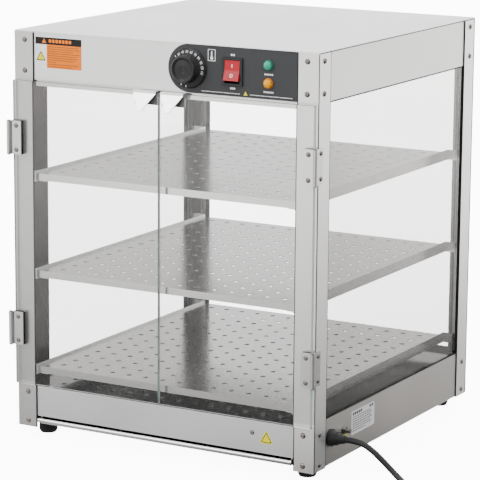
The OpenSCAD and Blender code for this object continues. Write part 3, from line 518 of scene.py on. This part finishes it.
def coil_points():
    """Clockwise from the outside in, up to the second layer, and out again to the plug."""
    outer, middle, inner = COIL_RADII
    low, high = COIL_HEIGHTS
    points = []
    for i in range(round(COIL_TURNS * 360 / COIL_STEP) + 1):
        angle = i * COIL_STEP
        radius = outer + (middle - outer) * ease(angle, *FIRST_IN)
        radius += (inner - middle) * ease(angle, *SECOND_IN)
        radius += (middle - inner) * ease(angle, *FIRST_OUT) + (outer - middle) * ease(angle, *SECOND_OUT)
        turn = math.radians(-angle)
        points.append((
            COIL_CENTRE[0] + radius * math.cos(turn),
            COIL_CENTRE[1] + radius * math.sin(turn),
            low + (high - low) * ease(angle, *RISE),
        ))
    return points


def make_cord():
    """The lead from its gland through the coil to the plug, as one curve."""
    points = CORD_ROUTE + coil_points() + CORD_TAIL
    data = bpy.data.curves.new("power_lead", "CURVE")
    data.dimensions = "3D"
    data.bevel_depth = CORD_DIAMETER / 2
    data.bevel_resolution = 5
    data.resolution_u = 5
    data.use_fill_caps = True
    spline = data.splines.new("BEZIER")
    spline.bezier_points.add(len(points) - 1)
    for knot, point in zip(spline.bezier_points, points):
        knot.co = Vector(point) * MM
        knot.handle_left_type = knot.handle_right_type = "AUTO"
    data.materials.append(CORD)
    lead = link(bpy.data.objects.new("power_lead", data))
    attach(lead, "case")
    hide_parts("power_cord", "cord_coil")
    return lead


def make_tie():
    """Narrow strap round the turns of the coil, with its small buckle."""
    bm = bmesh.new()
    low, high, near, far = 0.15, 15.0, 26.7, 49.2
    outer = rounded_box(near, low, far, high, 5.5)
    inner = rounded_box(near + 0.8, low + 0.3, far - 0.8, high - 0.8, 4.9)
    place = Matrix.Translation((COIL_CENTRE[0] * MM, COIL_CENTRE[1] * MM, 0))
    place = place @ Matrix.Rotation(math.radians(-135), 4, "Z") @ Matrix.Rotation(math.radians(90), 4, "X")
    place = place @ Matrix.Scale(MM, 4)
    add_ring_plate(bm, outer, inner, -2.2, 2.2, place)
    add_plate(bm, rounded_box(33, 13.6, 39, 16.6, 1.0), -3.1, 3.1, place)
    return mesh_object("lead_tie", bm, TIE, "case")


def plug_outline(half_wide, half_high):
    """Superellipse section of the plug body."""
    power, steps = 3.2, 40
    points = []
    for i in range(steps):
        t = 2 * math.pi * i / steps
        c, s = math.cos(t), math.sin(t)
        points.append((
            half_high * math.copysign(abs(c) ** (2 / power), c),
            half_wide * math.copysign(abs(s) ** (2 / power), s),
        ))
    return points


def make_plug():
    """Moulded three-pin plug: ribbed strain relief, gripped body, two blades and a round pin."""
    low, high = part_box("mains_plug")
    middle = (low + high) / 2
    place = Matrix.Translation((middle.x, high.y, PLUG_AXIS_Z)) @ Matrix.Rotation(math.radians(90), 4, "Z")
    place = place @ Matrix.Rotation(math.radians(-90), 4, "Y") @ Matrix.Scale(MM, 4)
    bm = bmesh.new()
    profile = [(0, 0), (4.3, 0)]
    for i in range(5):
        base = 4.4 + 0.5 * i
        start = 0.5 + 3.0 * i
        rib, groove = base + 0.35, base - 0.3
        profile += [(rib, start), (rib, start + 1.7), (groove, start + 2.1), (groove, start + 2.8)]
    profile += [(6.5, 15.8), (0, 15.8)]
    add_lathe(bm, profile, place, steps=32)
    body = []
    for height, wide, tall in (
        (14.6, 5.2, 5.6), (15.4, 7.2, 6.8), (17.5, 9.2, 7.8), (20.5, 10.4, 8.6), (24, 10.6, 8.9),
        (28, 10.3, 8.8), (32, 10.6, 9.0), (37, 11.5, 9.6), (42, 11.9, 9.9), (44.8, 11.9, 9.9),
        (45.6, 11.6, 9.6), (46, 10.9, 8.9),
    ):
        body.append((height, plug_outline(wide, tall)))
    add_loft(bm, body, place)
    for side in (-1, 1):
        for i in range(4):
            ridge = rounded_box(-5, side * 10.7 - 0.5, 5, side * 10.7 + 0.5, 0.45, 3)
            add_plate(bm, ridge, 22.2 + 3.1 * i, 23.6 + 3.1 * i, place)
    plug = mesh_object("plug_moulding", bm, PLUG, "case")
    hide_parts("mains_plug")
    bm = bmesh.new()
    for side in (-1, 1):
        x = side * BLADE_X
        full = rounded_box(-3.7, x - 0.74, 2.5, x + 0.74, 0.15, 2)
        narrow = rounded_box(-2.9, x - 0.35, 1.7, x + 0.35, 0.15, 2)
        blade = [(PLUG_FACE, full), (BLADE_TIP - 1, full), (BLADE_TIP, narrow)]
        add_loft(bm, blade, place)
    pin = place @ Matrix.Translation((5.5, 0, 0))
    profile = [(0, PLUG_FACE), (2.35, PLUG_FACE), (2.35, 61.6), (1.9, 63.2), (0.9, 63.9), (0, 63.9)]
    add_lathe(bm, profile, pin, 24)
    pins = mesh_object("plug_pins", bm, BRASS, "case")
    return plug, pins


lead = make_cord()
tie = make_tie()
plug, pins = make_plug()


# ---------------------------------------------------------------- screws

# shares of a screw head's radius
HEAD_HEIGHT = 0.58
SHANK_RADIUS = 0.56
SLOT_HALF_WIDTH = 0.13
SLOT_REACH = 0.62


def screw_head(bm, place, radius, height):
    """Round head with a cross recess, standing on local Z = 0."""
    dome = (radius * radius + height * height) / (2 * height)
    half_slot = SLOT_HALF_WIDTH * radius
    reach = SLOT_REACH * radius
    rings, steps = 9, 40

    def surface(x, y):
        distance = math.hypot(x, y)
        z = height - dome + math.sqrt(dome * dome - distance * distance)
        across = min(abs(x), abs(y))
        along = max(abs(x), abs(y))
        cut = ease(-across, -half_slot * 1.5, -half_slot * 0.8) * ease(-along, -reach, -reach * 0.7)
        return z - 0.42 * height * cut

    centre = bm.verts.new(place @ Vector((0, 0, surface(0, 0))))
    rows = []
    for k in range(1, rings + 1):
        r = radius * (k / rings) ** 0.85
        row = []
        for i in range(steps):
            angle = 2 * math.pi * i / steps
            x, y = r * math.cos(angle), r * math.sin(angle)
            row.append(bm.verts.new(place @ Vector((x, y, max(0.0, surface(x * 0.999, y * 0.999))))))
        rows.append(row)
    for i in range(steps):
        j = (i + 1) % steps
        bm.faces.new((centre, rows[0][i], rows[0][j]))
        for inner, outer in zip(rows, rows[1:]):
            bm.faces.new((inner[i], outer[i], outer[j], inner[j]))
    bm.faces.new(rows[-1][::-1])


def loose_parts(obj):
    """Lowest and highest corner of each separate solid in a CAD node."""
    bm = bmesh.new()
    bm.from_mesh(obj.data)
    bmesh.ops.remove_doubles(bm, verts=bm.verts, dist=1e-6)
    seen, found = set(), []
    for start in bm.verts:
        if start in seen:
            continue
        stack, group = [start], []
        seen.add(start)
        while stack:
            vert = stack.pop()
            group.append(vert.co.copy())
            for edge in vert.link_edges:
                other = edge.other_vert(vert)
                if other not in seen:
                    seen.add(other)
                    stack.append(other)
        found.append((
            Vector([min(c[i] for c in group) for i in range(3)]),
            Vector([max(c[i] for c in group) for i in range(3)]),
        ))
    bm.free()
    return found


CENTRE_Y = sum(corner.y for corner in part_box("roof_panel")) / 2


def head_place(low, high):
    """The way a screw's head faces, out of the case, and the head's tip, turn and radius."""
    middle = (low + high) / 2
    size = high - low
    axis = 0 if abs(size.y - size.z) < abs(size.x - size.z) else 1
    radius = size.z / 2
    if axis == 0:
        sign = 1 if middle.x > 0 else -1
        outer = high.x if sign > 0 else low.x
        turn = Matrix.Rotation(math.radians(90 * sign), 4, "Y")
        return Vector((sign, 0, 0)), Vector((outer, middle.y, middle.z)), turn, radius
    sign = 1 if middle.y > CENTRE_Y else -1
    outer = high.y if sign > 0 else low.y
    turn = Matrix.Rotation(math.radians(-90 * sign), 4, "X")
    return Vector((0, sign, 0)), Vector((middle.x, outer, middle.z)), turn, radius


def make_screws(node, body):
    """Detailed heads over the CAD screws, each turned to its own angle."""
    bm = bmesh.new()
    for index, (low, high) in enumerate(sorted(loose_parts(nodes[node]), key=lambda c: tuple(c[0]))):
        outward, tip, turn, radius = head_place(low, high)
        height = HEAD_HEIGHT * radius
        seat = tip - outward * height
        spin = Matrix.Rotation(math.radians(37 * index % 90), 4, "Z")
        place = Matrix.Translation(seat) @ turn @ spin
        screw_head(bm, place, radius, height)
        shank = (high - low).dot(Vector([abs(c) for c in outward])) - height
        shank_r = SHANK_RADIUS * radius
        profile = [(0, 0.0001), (shank_r, 0.0001), (shank_r, -shank), (0, -shank)]
        add_lathe(bm, profile[::-1], place, 12)
    piece = mesh_object(node + "_heads", bm, SCREW_STEEL, body, sharp=50)
    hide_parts(node)


for node, body in (
    ("case_screws", "case"), ("post_hinge_screws", "case"),
    ("left_hinge_screws", "left_door"), ("right_hinge_screws", "right_door"),
):
    make_screws(node, body)


# ---------------------------------------------------------------- control panel

overlay_low, overlay_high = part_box("control_overlay")
knob_low, knob_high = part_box("thermostat_knob")
rocker_low, rocker_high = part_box("rocker_housing")
OVERLAY_Y = overlay_low.y
# degrees of tilt at rest, and the pivot's x and y
ROCKER_TILT = 10
ROCKER_PIVOT = (92 * MM, -190.4 * MM)
# height of the printing's foot and top above the surface
PRINT_FOOT = 0.00001
PRINT = 0.00006


def print_piece(name, outlines, material, place, lift=PRINT):
    """Flat printed shapes, a hair above the surface they are printed on."""
    bm = bmesh.new()
    for outline in outlines:
        add_plate(bm, outline, PRINT_FOOT, lift, place)
    return mesh_object(name, bm, material, "case", smooth=False)


def glyph_mesh(text, size):
    """Triangles of a short text, centred on the origin."""
    data = bpy.data.curves.new("glyphs", "FONT")
    data.body = text
    data.size = size
    data.align_x = "CENTER"
    data.align_y = "CENTER"
    data.resolution_u = 3
    holder = link(bpy.data.objects.new("glyphs", data))
    bpy.context.view_layer.update()
    mesh = bpy.data.meshes.new_from_object(holder.evaluated_get(bpy.context.evaluated_depsgraph_get()))
    verts = [v.co.copy() for v in mesh.vertices]
    faces = [tuple(p.vertices) for p in mesh.polygons]
    bpy.data.objects.remove(holder)
    bpy.data.curves.remove(data)
    bpy.data.meshes.remove(mesh)
    return verts, faces


def make_dial():
    """White scale on the dial's sloping skirt: 30 to 110 clockwise and two ticks below."""
    centre = Vector(((knob_low.x + knob_high.x) / 2, 0, (knob_low.z + knob_high.z) / 2))
    back_y = knob_high.y
    outer_r, inner_r = 21.5 * MM, 16.2 * MM
    outer_h, inner_h = 2.6 * MM, 4.0 * MM
    middle_r = 18.95 * MM
    lift = 0.04 * MM

    def on_skirt(radius, angle):
        share = (outer_r - radius) / (outer_r - inner_r)
        depth = outer_h + (inner_h - outer_h) * share + lift
        return Vector((
            centre.x + radius * math.cos(angle), back_y - depth, centre.z + radius * math.sin(angle),
        ))

    bm = bmesh.new()
    for i, number in enumerate(range(30, 120, 10)):
        angle = math.radians(127 - 17.2 * i)
        verts, faces = glyph_mesh(str(number), 3.9 * MM)
        narrow = 0.9 if number < 100 else 0.72
        made = [bm.verts.new(on_skirt(middle_r + v.y, angle - narrow * v.x / middle_r)) for v in verts]
        for face in faces:
            bm.faces.new([made[k] for k in face])
    for degrees in (141, 246, 264):
        angle = math.radians(degrees)
        corners = ((-0.4, 19.2), (0.4, 19.2), (0.4, 21.2), (-0.4, 21.2))
        made = [bm.verts.new(on_skirt(r * MM, angle + w * MM / middle_r)) for w, r in corners]
        bm.faces.new(made[::-1])
    bmesh.ops.recalc_face_normals(bm, faces=bm.faces)
    for face in bm.faces:
        if face.normal.y > 0:
            face.normal_flip()
    mesh_object("dial_scale", bm, INK_WHITE, "knob", smooth=False)


make_dial()


def make_knob_hub():
    """Small raised ring in the dished face of the knob."""
    centre_x, centre_z = (knob_low.x + knob_high.x) / 2, (knob_low.z + knob_high.z) / 2
    face_y = knob_low.y + 2.4 * MM
    bm = bmesh.new()
    profile = [(5.6, -0.3), (5.4, 0.35), (5.0, 0.6), (4.5, 0.6), (4.2, 0.4), (3.9, 0.25), (0, 0.2)]
    scaled = [(r * MM, h * MM) for r, h in profile]
    add_lathe(bm, scaled, front_matrix(centre_x, face_y, centre_z), 48)
    mesh_object("knob_hub", bm, KNOB, "knob")


make_knob_hub()


def bars(x, z, width, height, count=1, gap=0.0):
    """A row of rounded bars that stands for a printed word."""
    step = (width + gap) / count
    return [
        rounded_box(x + i * step, z, x + (i + 1) * step - gap, z + height, min(height, step - gap) * 0.3, 3)
        for i in range(count)
    ]


def make_overlay_prints():
    """Words, a triangle and a thermometer on the overlay."""
    place = front_matrix(0, OVERLAY_Y, 0)
    control_z = (overlay_low.z + overlay_high.z) / 2
    rocker_x = (rocker_low.x + rocker_high.x) / 2
    lamp_x = sum(c.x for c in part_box("green_lamp")) / 2
    outlines = []
    # words over and under the switch, and under the lamps
    outlines += bars(rocker_x - 2.6 * MM, control_z + 17.6 * MM, 5.2 * MM, 2.2 * MM, 2, 0.6 * MM)
    outlines += bars(rocker_x - 3.2 * MM, control_z - 19.8 * MM, 6.4 * MM, 2.2 * MM, 3, 0.6 * MM)
    outlines += bars(lamp_x - 5.4 * MM, control_z - 0.9 * MM, 10.8 * MM, 1.9 * MM, 5, 0.5 * MM)
    outlines += bars(lamp_x - 6.2 * MM, control_z - 20.6 * MM, 12.4 * MM, 1.9 * MM, 7, 0.5 * MM)
    # two fine lines of print along the lower edge
    for start, end in ((52, 100), (114, 164)):
        x = start
        k = 0
        while x < end:
            width = 1.6 + (k * 7 % 5) * 0.7
            outlines += bars(x * MM, control_z - 24.6 * MM, width * MM, 0.7 * MM)
            x += width + 0.6
            k += 1
    print_piece("overlay_words", outlines, INK_WHITE, place)
    print_piece(
        "overlay_triangle", [triangle_outline(108.5 * MM, control_z - 23.9 * MM, 3.0 * MM, 0.3 * MM)],
        VINYL_YELLOW, place,
    )
    # thermometer in a frame
    icon_x, icon_z = 65 * MM, control_z + 16.6 * MM
    bm = bmesh.new()
    add_ring_plate(
        bm,
        rounded_box(icon_x - 4.9 * MM, icon_z - 6.6 * MM, icon_x + 4.9 * MM, icon_z + 6.6 * MM, 0.9 * MM),
        rounded_box(icon_x - 4.2 * MM, icon_z - 5.9 * MM, icon_x + 4.2 * MM, icon_z + 5.9 * MM, 0.5 * MM),
        PRINT_FOOT, PRINT, place,
    )
    stem = rounded_box(icon_x - 0.8 * MM, icon_z - 3 * MM, icon_x + 0.8 * MM, icon_z + 4.4 * MM, 0.75 * MM)
    add_plate(bm, stem, PRINT_FOOT, PRINT, place)
    add_plate(bm, circle_outline(icon_x, icon_z - 3.2 * MM, 1.9 * MM), 2 * PRINT_FOOT, PRINT * 1.2, place)
    mesh_object("overlay_icon", bm, INK_WHITE, "case", smooth=False)


make_overlay_prints()


def make_rocker_marks():
    """Line and ring moulded into the rocker's two sloping faces."""
    tilt = math.radians(ROCKER_TILT)
    pivot = Vector((*ROCKER_PIVOT, (overlay_low.z + overlay_high.z) / 2))
    turn = Matrix.Translation(pivot) @ Matrix.Rotation(-tilt, 4, "X")
    face_y = -8.6 * MM
    rise, reach = 1.4 * MM, 11.4 * MM
    lean = math.atan2(rise, reach)
    top, bottom = (
        turn @ Matrix.Translation((0, face_y + rise, 0)) @ Matrix.Rotation(angle, 4, "X")
        for angle in (lean, -lean)
    )
    out = Matrix.Rotation(math.radians(90), 4, "X")
    bm = bmesh.new()
    root = -0.1 * MM
    line = rounded_box(-0.55 * MM, 3.4 * MM, 0.55 * MM, 7.4 * MM, 0.1 * MM, 2)
    add_plate(bm, line, root, PRINT, top @ out)
    ring_z = -5.6 * MM
    add_ring_plate(
        bm, circle_outline(0, ring_z, 2.1 * MM, 28), circle_outline(0, ring_z, 1.25 * MM, 28),
        root, PRINT, bottom @ out,
    )
    mesh_object("rocker_marks", bm, INK_WHITE, "rocker", smooth=False)


make_rocker_marks()


def make_lamp(node, lens_material, collar_material):
    """Lamp lens with fine ribs round its dome, in a plain collar."""
    low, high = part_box(node)
    middle = (low + high) / 2
    place = front_matrix(middle.x, OVERLAY_Y, middle.z) @ Matrix.Scale(MM, 4)

    def ribbed(radius, height, angle):
        wave = 0.5 + 0.5 * math.cos(16 * angle)
        return radius, height - 0.32 * wave * min(1.0, radius / 2.4)

    bm = bmesh.new()
    dome = [
        (0, 6.0), (0.9, 5.95), (1.8, 5.75), (2.7, 5.4), (3.6, 4.8),
        (4.3, 4.1), (4.75, 3.2), (4.8, 2.4), (4.8, 0.5),
    ]
    add_lathe(bm, dome[::-1], place, 96, ribbed)
    mesh_object(node + "_lens", bm, lens_material, "case", sharp=60)
    bm = bmesh.new()
    collar = [
        (4.78, -16.0), (4.78, 0.0), (5.95, 0.0), (5.95, 0.8), (5.6, 1.3), (5.5, 2.5),
        (5.2, 2.9), (4.82, 2.6), (4.82, 0.6),
    ]
    add_lathe(bm, [(0, -16.0)] + collar + [(0, 0.6)], place, 48)
    collar_piece = mesh_object(node + "_collar", bm, collar_material, "case")
    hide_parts(node)


make_lamp("green_lamp", LENS_GREEN, COLLAR_GREEN)
make_lamp("amber_lamp", LENS_AMBER, COLLAR_AMBER)


# ---------------------------------------------------------------- stickers

# tops of a label's backing and of the inks over it
BACKING, INK_LOW, INK_MID, INK_TOP = 0.12 * MM, 0.16 * MM, 0.2 * MM, 0.24 * MM


def label(name, outlines, material, place, lift):
    """One layer of a printed label."""
    return print_piece(name, outlines, material, place, lift)


def make_stickers():
    """Plain printed labels: an orange notice, two yellow marks and a silver data label."""
    fascia_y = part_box("front_fascia")[0].y
    base_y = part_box("base_front_panel")[0].y
    panel_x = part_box("base_right_panel")[1].x
    place = front_matrix(0, fascia_y, 0)
    x0, x1, z0, z1 = -172.5 * MM, -107 * MM, 445 * MM, 482.5 * MM
    back = label("notice_back", [rounded_box(x0, z0, x1, z1, 1.6 * MM)], VINYL_WHITE, place, BACKING)
    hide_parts("stickers")
    margin = 1.0 * MM
    inner = (x0 + margin, z0 + margin, x1 - margin, z1 - margin)
    header_z = inner[3] - 8.2 * MM
    cell_x = inner[0] + 15.5 * MM
    header = rounded_box(inner[0], header_z, inner[2], inner[3], 0.8 * MM)
    label("notice_header", [header], INK_BLACK, place, INK_LOW)
    text_field = rounded_box(cell_x, inner[1], inner[2], header_z, 0.2 * MM)
    label("notice_body", [text_field], VINYL_ORANGE, place, INK_LOW)
    header_marks = [triangle_outline(inner[0] + 12 * MM, header_z + 3.4 * MM, 3.6 * MM, 0.35 * MM)]
    header_marks += bars(inner[0] + 18.5 * MM, header_z + 2.2 * MM, 31 * MM, 4.0 * MM, 7, 1.0 * MM)
    label("notice_title", header_marks, VINYL_ORANGE, place, INK_MID)
    lines = []
    for row, share in enumerate((0.93, 0.97, 0.78, 0.96, 0.86, 0.90, 0.82, 0.25, 0.94, 0.74)):
        z = header_z - (2.3 + 2.55 * row) * MM
        width = (inner[2] - cell_x - 3 * MM) * share
        lines += bars(cell_x + 1.5 * MM, z - 0.6 * MM, width, 0.9 * MM, max(2, round(14 * share)), 0.7 * MM)
    label("notice_lines", lines, INK_BROWN, place, INK_MID)
    mark_x, mark_z = inner[0] + 7.6 * MM, (inner[1] + header_z) / 2 - 1.6 * MM
    edge = triangle_outline(mark_x, mark_z, 7.6 * MM, 0.6 * MM)
    label("notice_mark_edge", [edge], INK_BLACK, place, INK_MID)
    mark = triangle_outline(mark_x, mark_z, 5.6 * MM, 0.4 * MM)
    label("notice_mark", [mark], VINYL_YELLOW, place, INK_TOP)
    place = front_matrix(0, base_y, 0)
    for name, radius, corner, material, lift in (
        ("base_mark_back", 10.2, 0.9, VINYL_YELLOW, BACKING),
        ("base_mark_edge", 8.2, 0.6, INK_BLACK, INK_LOW),
        ("base_mark", 6.4, 0.4, VINYL_YELLOW, INK_MID),
    ):
        outline = triangle_outline(138.5 * MM, 43.5 * MM, radius * MM, corner * MM)
        label(name, [outline], material, place, lift)
    place = side_matrix(panel_x, 0, 0)
    y0, y1, z0, z1 = -101 * MM, -42 * MM, 33.5 * MM, 61.5 * MM
    label("data_label", [rounded_box(y0, z0, y1, z1, 1.2 * MM)], VINYL_SILVER, place, BACKING)
    lines = bars(y0 + 3 * MM, z1 - 5.2 * MM, 24 * MM, 3.6 * MM, 5, 0.8 * MM)
    lines += bars(y1 - 13 * MM, z1 - 4.6 * MM, 10 * MM, 3.0 * MM, 2, 1.2 * MM)
    for row, share in enumerate((0.86, 0.92, 0.88, 0.93, 0.84, 0.90, 0.62)):
        z = z1 - (8.0 + 2.75 * row) * MM
        lines += bars(y0 + 3 * MM, z, 53 * MM * share, 1.1 * MM, round(9 * share), 0.9 * MM)
    label("data_label_lines", lines, INK_GREY, place, INK_LOW)
    disc_y, disc_z = -117 * MM, 35 * MM
    for name, radius, material, lift in (
        ("earth_disc", 5.0, VINYL_YELLOW, BACKING), ("earth_disc_ring", 3.6, INK_GREY, INK_LOW),
        ("earth_disc_middle", 3.0, VINYL_YELLOW, INK_MID),
    ):
        disc = circle_outline(disc_y, disc_z, radius * MM)
        label(name, [disc], material, place, lift)
    label(
        "earth_disc_bars",
        bars(disc_y - 1.6 * MM, disc_z - 0.2 * MM, 3.2 * MM, 0.5 * MM)
        + bars(disc_y - 0.9 * MM, disc_z - 1.3 * MM, 1.8 * MM, 0.5 * MM)
        + bars(disc_y - 0.25 * MM, disc_z, 0.5 * MM, 2.2 * MM),
        INK_GREY, place, INK_TOP,
    )


make_stickers()


# ---------------------------------------------------------------- painted shade strips, glass edges and liner

# sizes of the dark strips that paint shade and dark reflection into the posts' edges and corners, the
# roof's sides and the panels' feet
SHADE_STRIP_WIDTH = 1.3 * MM
SHADE_STRIP_PROUD = 0.12 * MM
SHADE_STRIP_SUNK = 0.05 * MM
SHADE_STRIP_LAP = 0.3 * MM
CORNER_SHADE_STRIP = 2.2 * MM
ROOF_SHADE_FAR = 2 * MM
ROOF_SHADE_NEAR = 0.2 * MM
EDGE_SKIN = 0.06 * MM
EDGE_INSET = 0.3 * MM
LINER_GAP = 3.6 * MM
LINER_THICKNESS = 0.6 * MM
LINER_DEPTH = 58 * MM
LINER_END = 6 * MM


def add_bar(bm, low, high):
    """A square-edged strip between two corners in space."""
    add_plate(bm, rounded_box(low[0], low[1], high[0], high[1]), low[2], high[2])


def make_seams():
    """Painted shade as dark strips along the posts' cut edges, under the roof's sides and at the side
    panels' feet, and a painted dark reflection along the posts' corners.
    """
    roof_low, roof_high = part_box("roof_panel")
    post_low, post_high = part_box("post_front_right")
    panel_low, panel_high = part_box("upper_side_panels")
    front, rear, side = roof_low.y, roof_high.y, roof_high.x
    foot, head = panel_low.z, panel_high.z
    front_leg = post_high.x - post_low.x
    side_leg = post_high.y - post_low.y
    step = side - panel_high.x
    inset = side - front_leg
    bm = bmesh.new()
    for sx in (-1, 1):
        for y, sy in ((front, 1), (rear, -1)):
            strips = (
                (side, side + SHADE_STRIP_PROUD, y, y + sy * CORNER_SHADE_STRIP),
                (side - step, side - SHADE_STRIP_SUNK, y + sy * side_leg, y + sy * (side_leg + SHADE_STRIP_WIDTH)),
                (inset - SHADE_STRIP_WIDTH, inset, y + sy * SHADE_STRIP_SUNK, y + sy * step),
            )
            for x0, x1, y0, y1 in strips:
                xs, ys = sorted((sx * x0, sx * x1)), sorted((y0, y1))
                add_bar(bm, (xs[0], ys[0], post_low.z), (xs[1], ys[1], head))
        xs = sorted((sx * (side - ROOF_SHADE_FAR), sx * (side - ROOF_SHADE_NEAR)))
        add_bar(bm, (xs[0], front + SHADE_STRIP_WIDTH, head), (xs[1], rear - SHADE_STRIP_WIDTH, post_high.z))
        xs = sorted((sx * (panel_high.x - SHADE_STRIP_WIDTH), sx * (panel_high.x + SHADE_STRIP_PROUD)))
        add_bar(bm, (xs[0], front + side_leg, foot - SHADE_STRIP_WIDTH), (xs[1], rear - side_leg, foot + SHADE_STRIP_LAP))
    mesh_object("painted_shade_strips", bm, SEAL, "case", smooth=False)


def make_glass_edges():
    """Ground upright edges of the two doors, a skin over the cut faces of the glass."""
    for side in ("left", "right"):
        low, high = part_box(side + "_door_glass")
        front, rear = low.y + EDGE_INSET, high.y - EDGE_INSET
        bm = bmesh.new()
        for x in (low.x, high.x):
            add_bar(bm, (x - EDGE_SKIN, front, low.z + MM), (x + EDGE_SKIN, rear, high.z - MM))
        mesh_object(side + "_door_edges", bm, GLASS_EDGE, side + "_door", smooth=False)


def make_liner():
    """Narrow steel strip inside the left wall, next to the front post."""
    post_low, post_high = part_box("post_front_left")
    glass_low, glass_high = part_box("side_glass")
    inside = glass_low.x + LINER_GAP
    bm = bmesh.new()
    add_bar(
        bm, (inside, post_high.y + EDGE_INSET, glass_low.z + LINER_END),
        (inside + LINER_THICKNESS, post_low.y + LINER_DEPTH, glass_high.z - LINER_END),
    )
    mesh_object("left_liner", bm, LINER_STEEL, "case", smooth=False)


make_seams()
make_glass_edges()
make_liner()


# ---------------------------------------------------------------- floor and light

class StageTree(NodeTree):
    """Short ways to shape the brightness of the floor and the world."""

    def ramp(self, value, start, end, low, high):
        node = self.tree.nodes.new("ShaderNodeMapRange")
        node.interpolation_type = "SMOOTHSTEP"
        self.tree.links.new(value, node.inputs["Value"])
        for socket, number in (("From Min", start), ("From Max", end), ("To Min", low), ("To Max", high)):
            node.inputs[socket].default_value = number
        return node.outputs["Result"]

    def lighten(self, plain, open_view, glass_view, offset=0):
        """A brightness for reflections, with more for the open view and for the view through glass.

        The world counts one more bounce than a surface does, which the offset takes off.
        """
        paths = self.tree.nodes.new("ShaderNodeLightPath")
        bounces = self.math("SUBTRACT", paths.outputs["Ray Depth"], paths.outputs["Transmission Depth"])
        seen = self.math("LESS_THAN", bounces, offset + 0.5)
        clear = self.math("LESS_THAN", paths.outputs["Ray Depth"], offset + 0.5)
        through = self.math("SUBTRACT", seen, clear)
        reflected = self.math("MULTIPLY", plain, self.math("SUBTRACT", 1.0, seen))
        in_open = self.math("MULTIPLY", clear, open_view)
        in_glass = self.math("MULTIPLY", through, glass_view)
        return self.math("ADD", reflected, self.math("ADD", in_open, in_glass)), seen


# brightness of the floor and backdrop, seen in the open and seen through glass
OPEN_GLOW = 10.0
GLASS_GLOW = 5.0
# the view's right and forward directions on the floor, both mirrored in the case's front
MIRROR_RIGHT = (0.871, -0.491)
MIRROR_AHEAD = (-0.491, -0.871)


def floor_material():
    """Near white where it is seen, and in reflections a studio floor that gets lighter with distance and
    carries a painted shadow of the case in a band across its place.
    """
    material = bpy.data.materials.new("floor_white")
    material.use_nodes = True
    tree = material.node_tree
    t = StageTree(tree)
    shown = tree.nodes["Principled BSDF"]
    shown.inputs["Base Color"].default_value = (0.80, 0.80, 0.80, 1)
    shown.inputs["Roughness"].default_value = 0.7
    shown.inputs["Specular IOR Level"].default_value = 0.1
    shown.inputs["Emission Color"].default_value = (1, 1, 1, 1)
    place = tree.nodes.new("ShaderNodeNewGeometry")
    split = tree.nodes.new("ShaderNodeSeparateXYZ")
    tree.links.new(place.outputs["Position"], split.inputs[0])
    x, y = split.outputs["X"], split.outputs["Y"]
    right, front = (
        t.math("ADD", t.math("MULTIPLY", x, way[0]), t.math("MULTIPLY", y, way[1]))
        for way in (MIRROR_RIGHT, MIRROR_AHEAD)
    )
    half = t.ramp(front, -0.15, 0.15, -1, 1)
    across = t.ramp(t.math("MULTIPLY", right, half), -0.42, 0.05, 0.68, 1.45)
    away = t.ramp(t.math("ABSOLUTE", front), 0.15, 2.4, 0.42, 1.9)
    flag = t.ramp(t.math("MULTIPLY", right, t.math("ADD", half, 1.0)), 0.5, 1.4, 1, 0.35)
    glow = tree.nodes.new("ShaderNodeEmission")
    glow.inputs["Color"].default_value = (1.0, 0.985, 0.975, 1)
    # painted shadow of the case: the glow seen in reflections is dimmed in a band across the case's place
    painted_case_shadow = t.ramp(t.math("ABSOLUTE", front), 0.0, 0.28, 0.12, 1.0)
    plain = t.math("MULTIPLY", t.math("MULTIPLY", across, away), t.math("MULTIPLY", flag, painted_case_shadow))
    strength, seen = t.lighten(plain, OPEN_GLOW, GLASS_GLOW)
    tree.links.new(plain, glow.inputs["Strength"])
    tree.links.new(strength, shown.inputs["Emission Strength"])
    mix = tree.nodes.new("ShaderNodeMixShader")
    tree.links.new(seen, mix.inputs[0])
    tree.links.new(glow.outputs[0], mix.inputs[1])
    tree.links.new(shown.outputs[0], mix.inputs[2])
    tree.links.new(mix.outputs[0], tree.nodes["Material Output"].inputs["Surface"])
    return material


def make_stage():
    """Floor, world and three area lamps."""
    bm = bmesh.new()
    bmesh.ops.create_grid(bm, x_segments=2, y_segments=2, size=14)
    mesh = bpy.data.meshes.new("floor")
    bm.to_mesh(mesh)
    bm.free()
    mesh.materials.append(floor_material())
    floor = link(bpy.data.objects.new("floor", mesh))
    floor.location.z = -0.0002

    world = bpy.data.worlds.new("studio")
    bpy.context.scene.world = world
    world.use_nodes = True
    tree = world.node_tree
    t = StageTree(tree)
    background = tree.nodes["Background"]
    background.inputs["Color"].default_value = (1.0, 1.0, 1.0, 1)
    coordinates = tree.nodes.new("ShaderNodeTexCoord")
    toward = tree.nodes.new("ShaderNodeVectorMath")
    toward.operation = "DOT_PRODUCT"
    toward.inputs[1].default_value = (0.95, -0.31, 0)
    tree.links.new(coordinates.outputs["Generated"], toward.inputs[0])
    flag = t.ramp(toward.outputs["Value"], 0.35, 0.8, 1.5, 0.5)
    tree.links.new(t.lighten(flag, OPEN_GLOW, GLASS_GLOW, offset=1)[0], background.inputs["Strength"])

    for name, place, aim, size, power in (
        ("key", (-2.2, -3.4, 3.2), (0, 0, 0.25), 2.2, 90),
        ("fill", (3.4, -1.6, 2.2), (0, 0, 0.25), 2.2, 20),
        ("top", (0.2, 0.6, 3.6), (0, 0, 0.3), 3.0, 60),
    ):
        data = bpy.data.lights.new(name, "AREA")
        data.shape = "SQUARE"
        data.size = size
        data.energy = power
        lamp = link(bpy.data.objects.new(name, data))
        lamp.location = place
        lamp.rotation_euler = (Vector(aim) - Vector(place)).to_track_quat("-Z", "Y").to_euler()


make_stage()
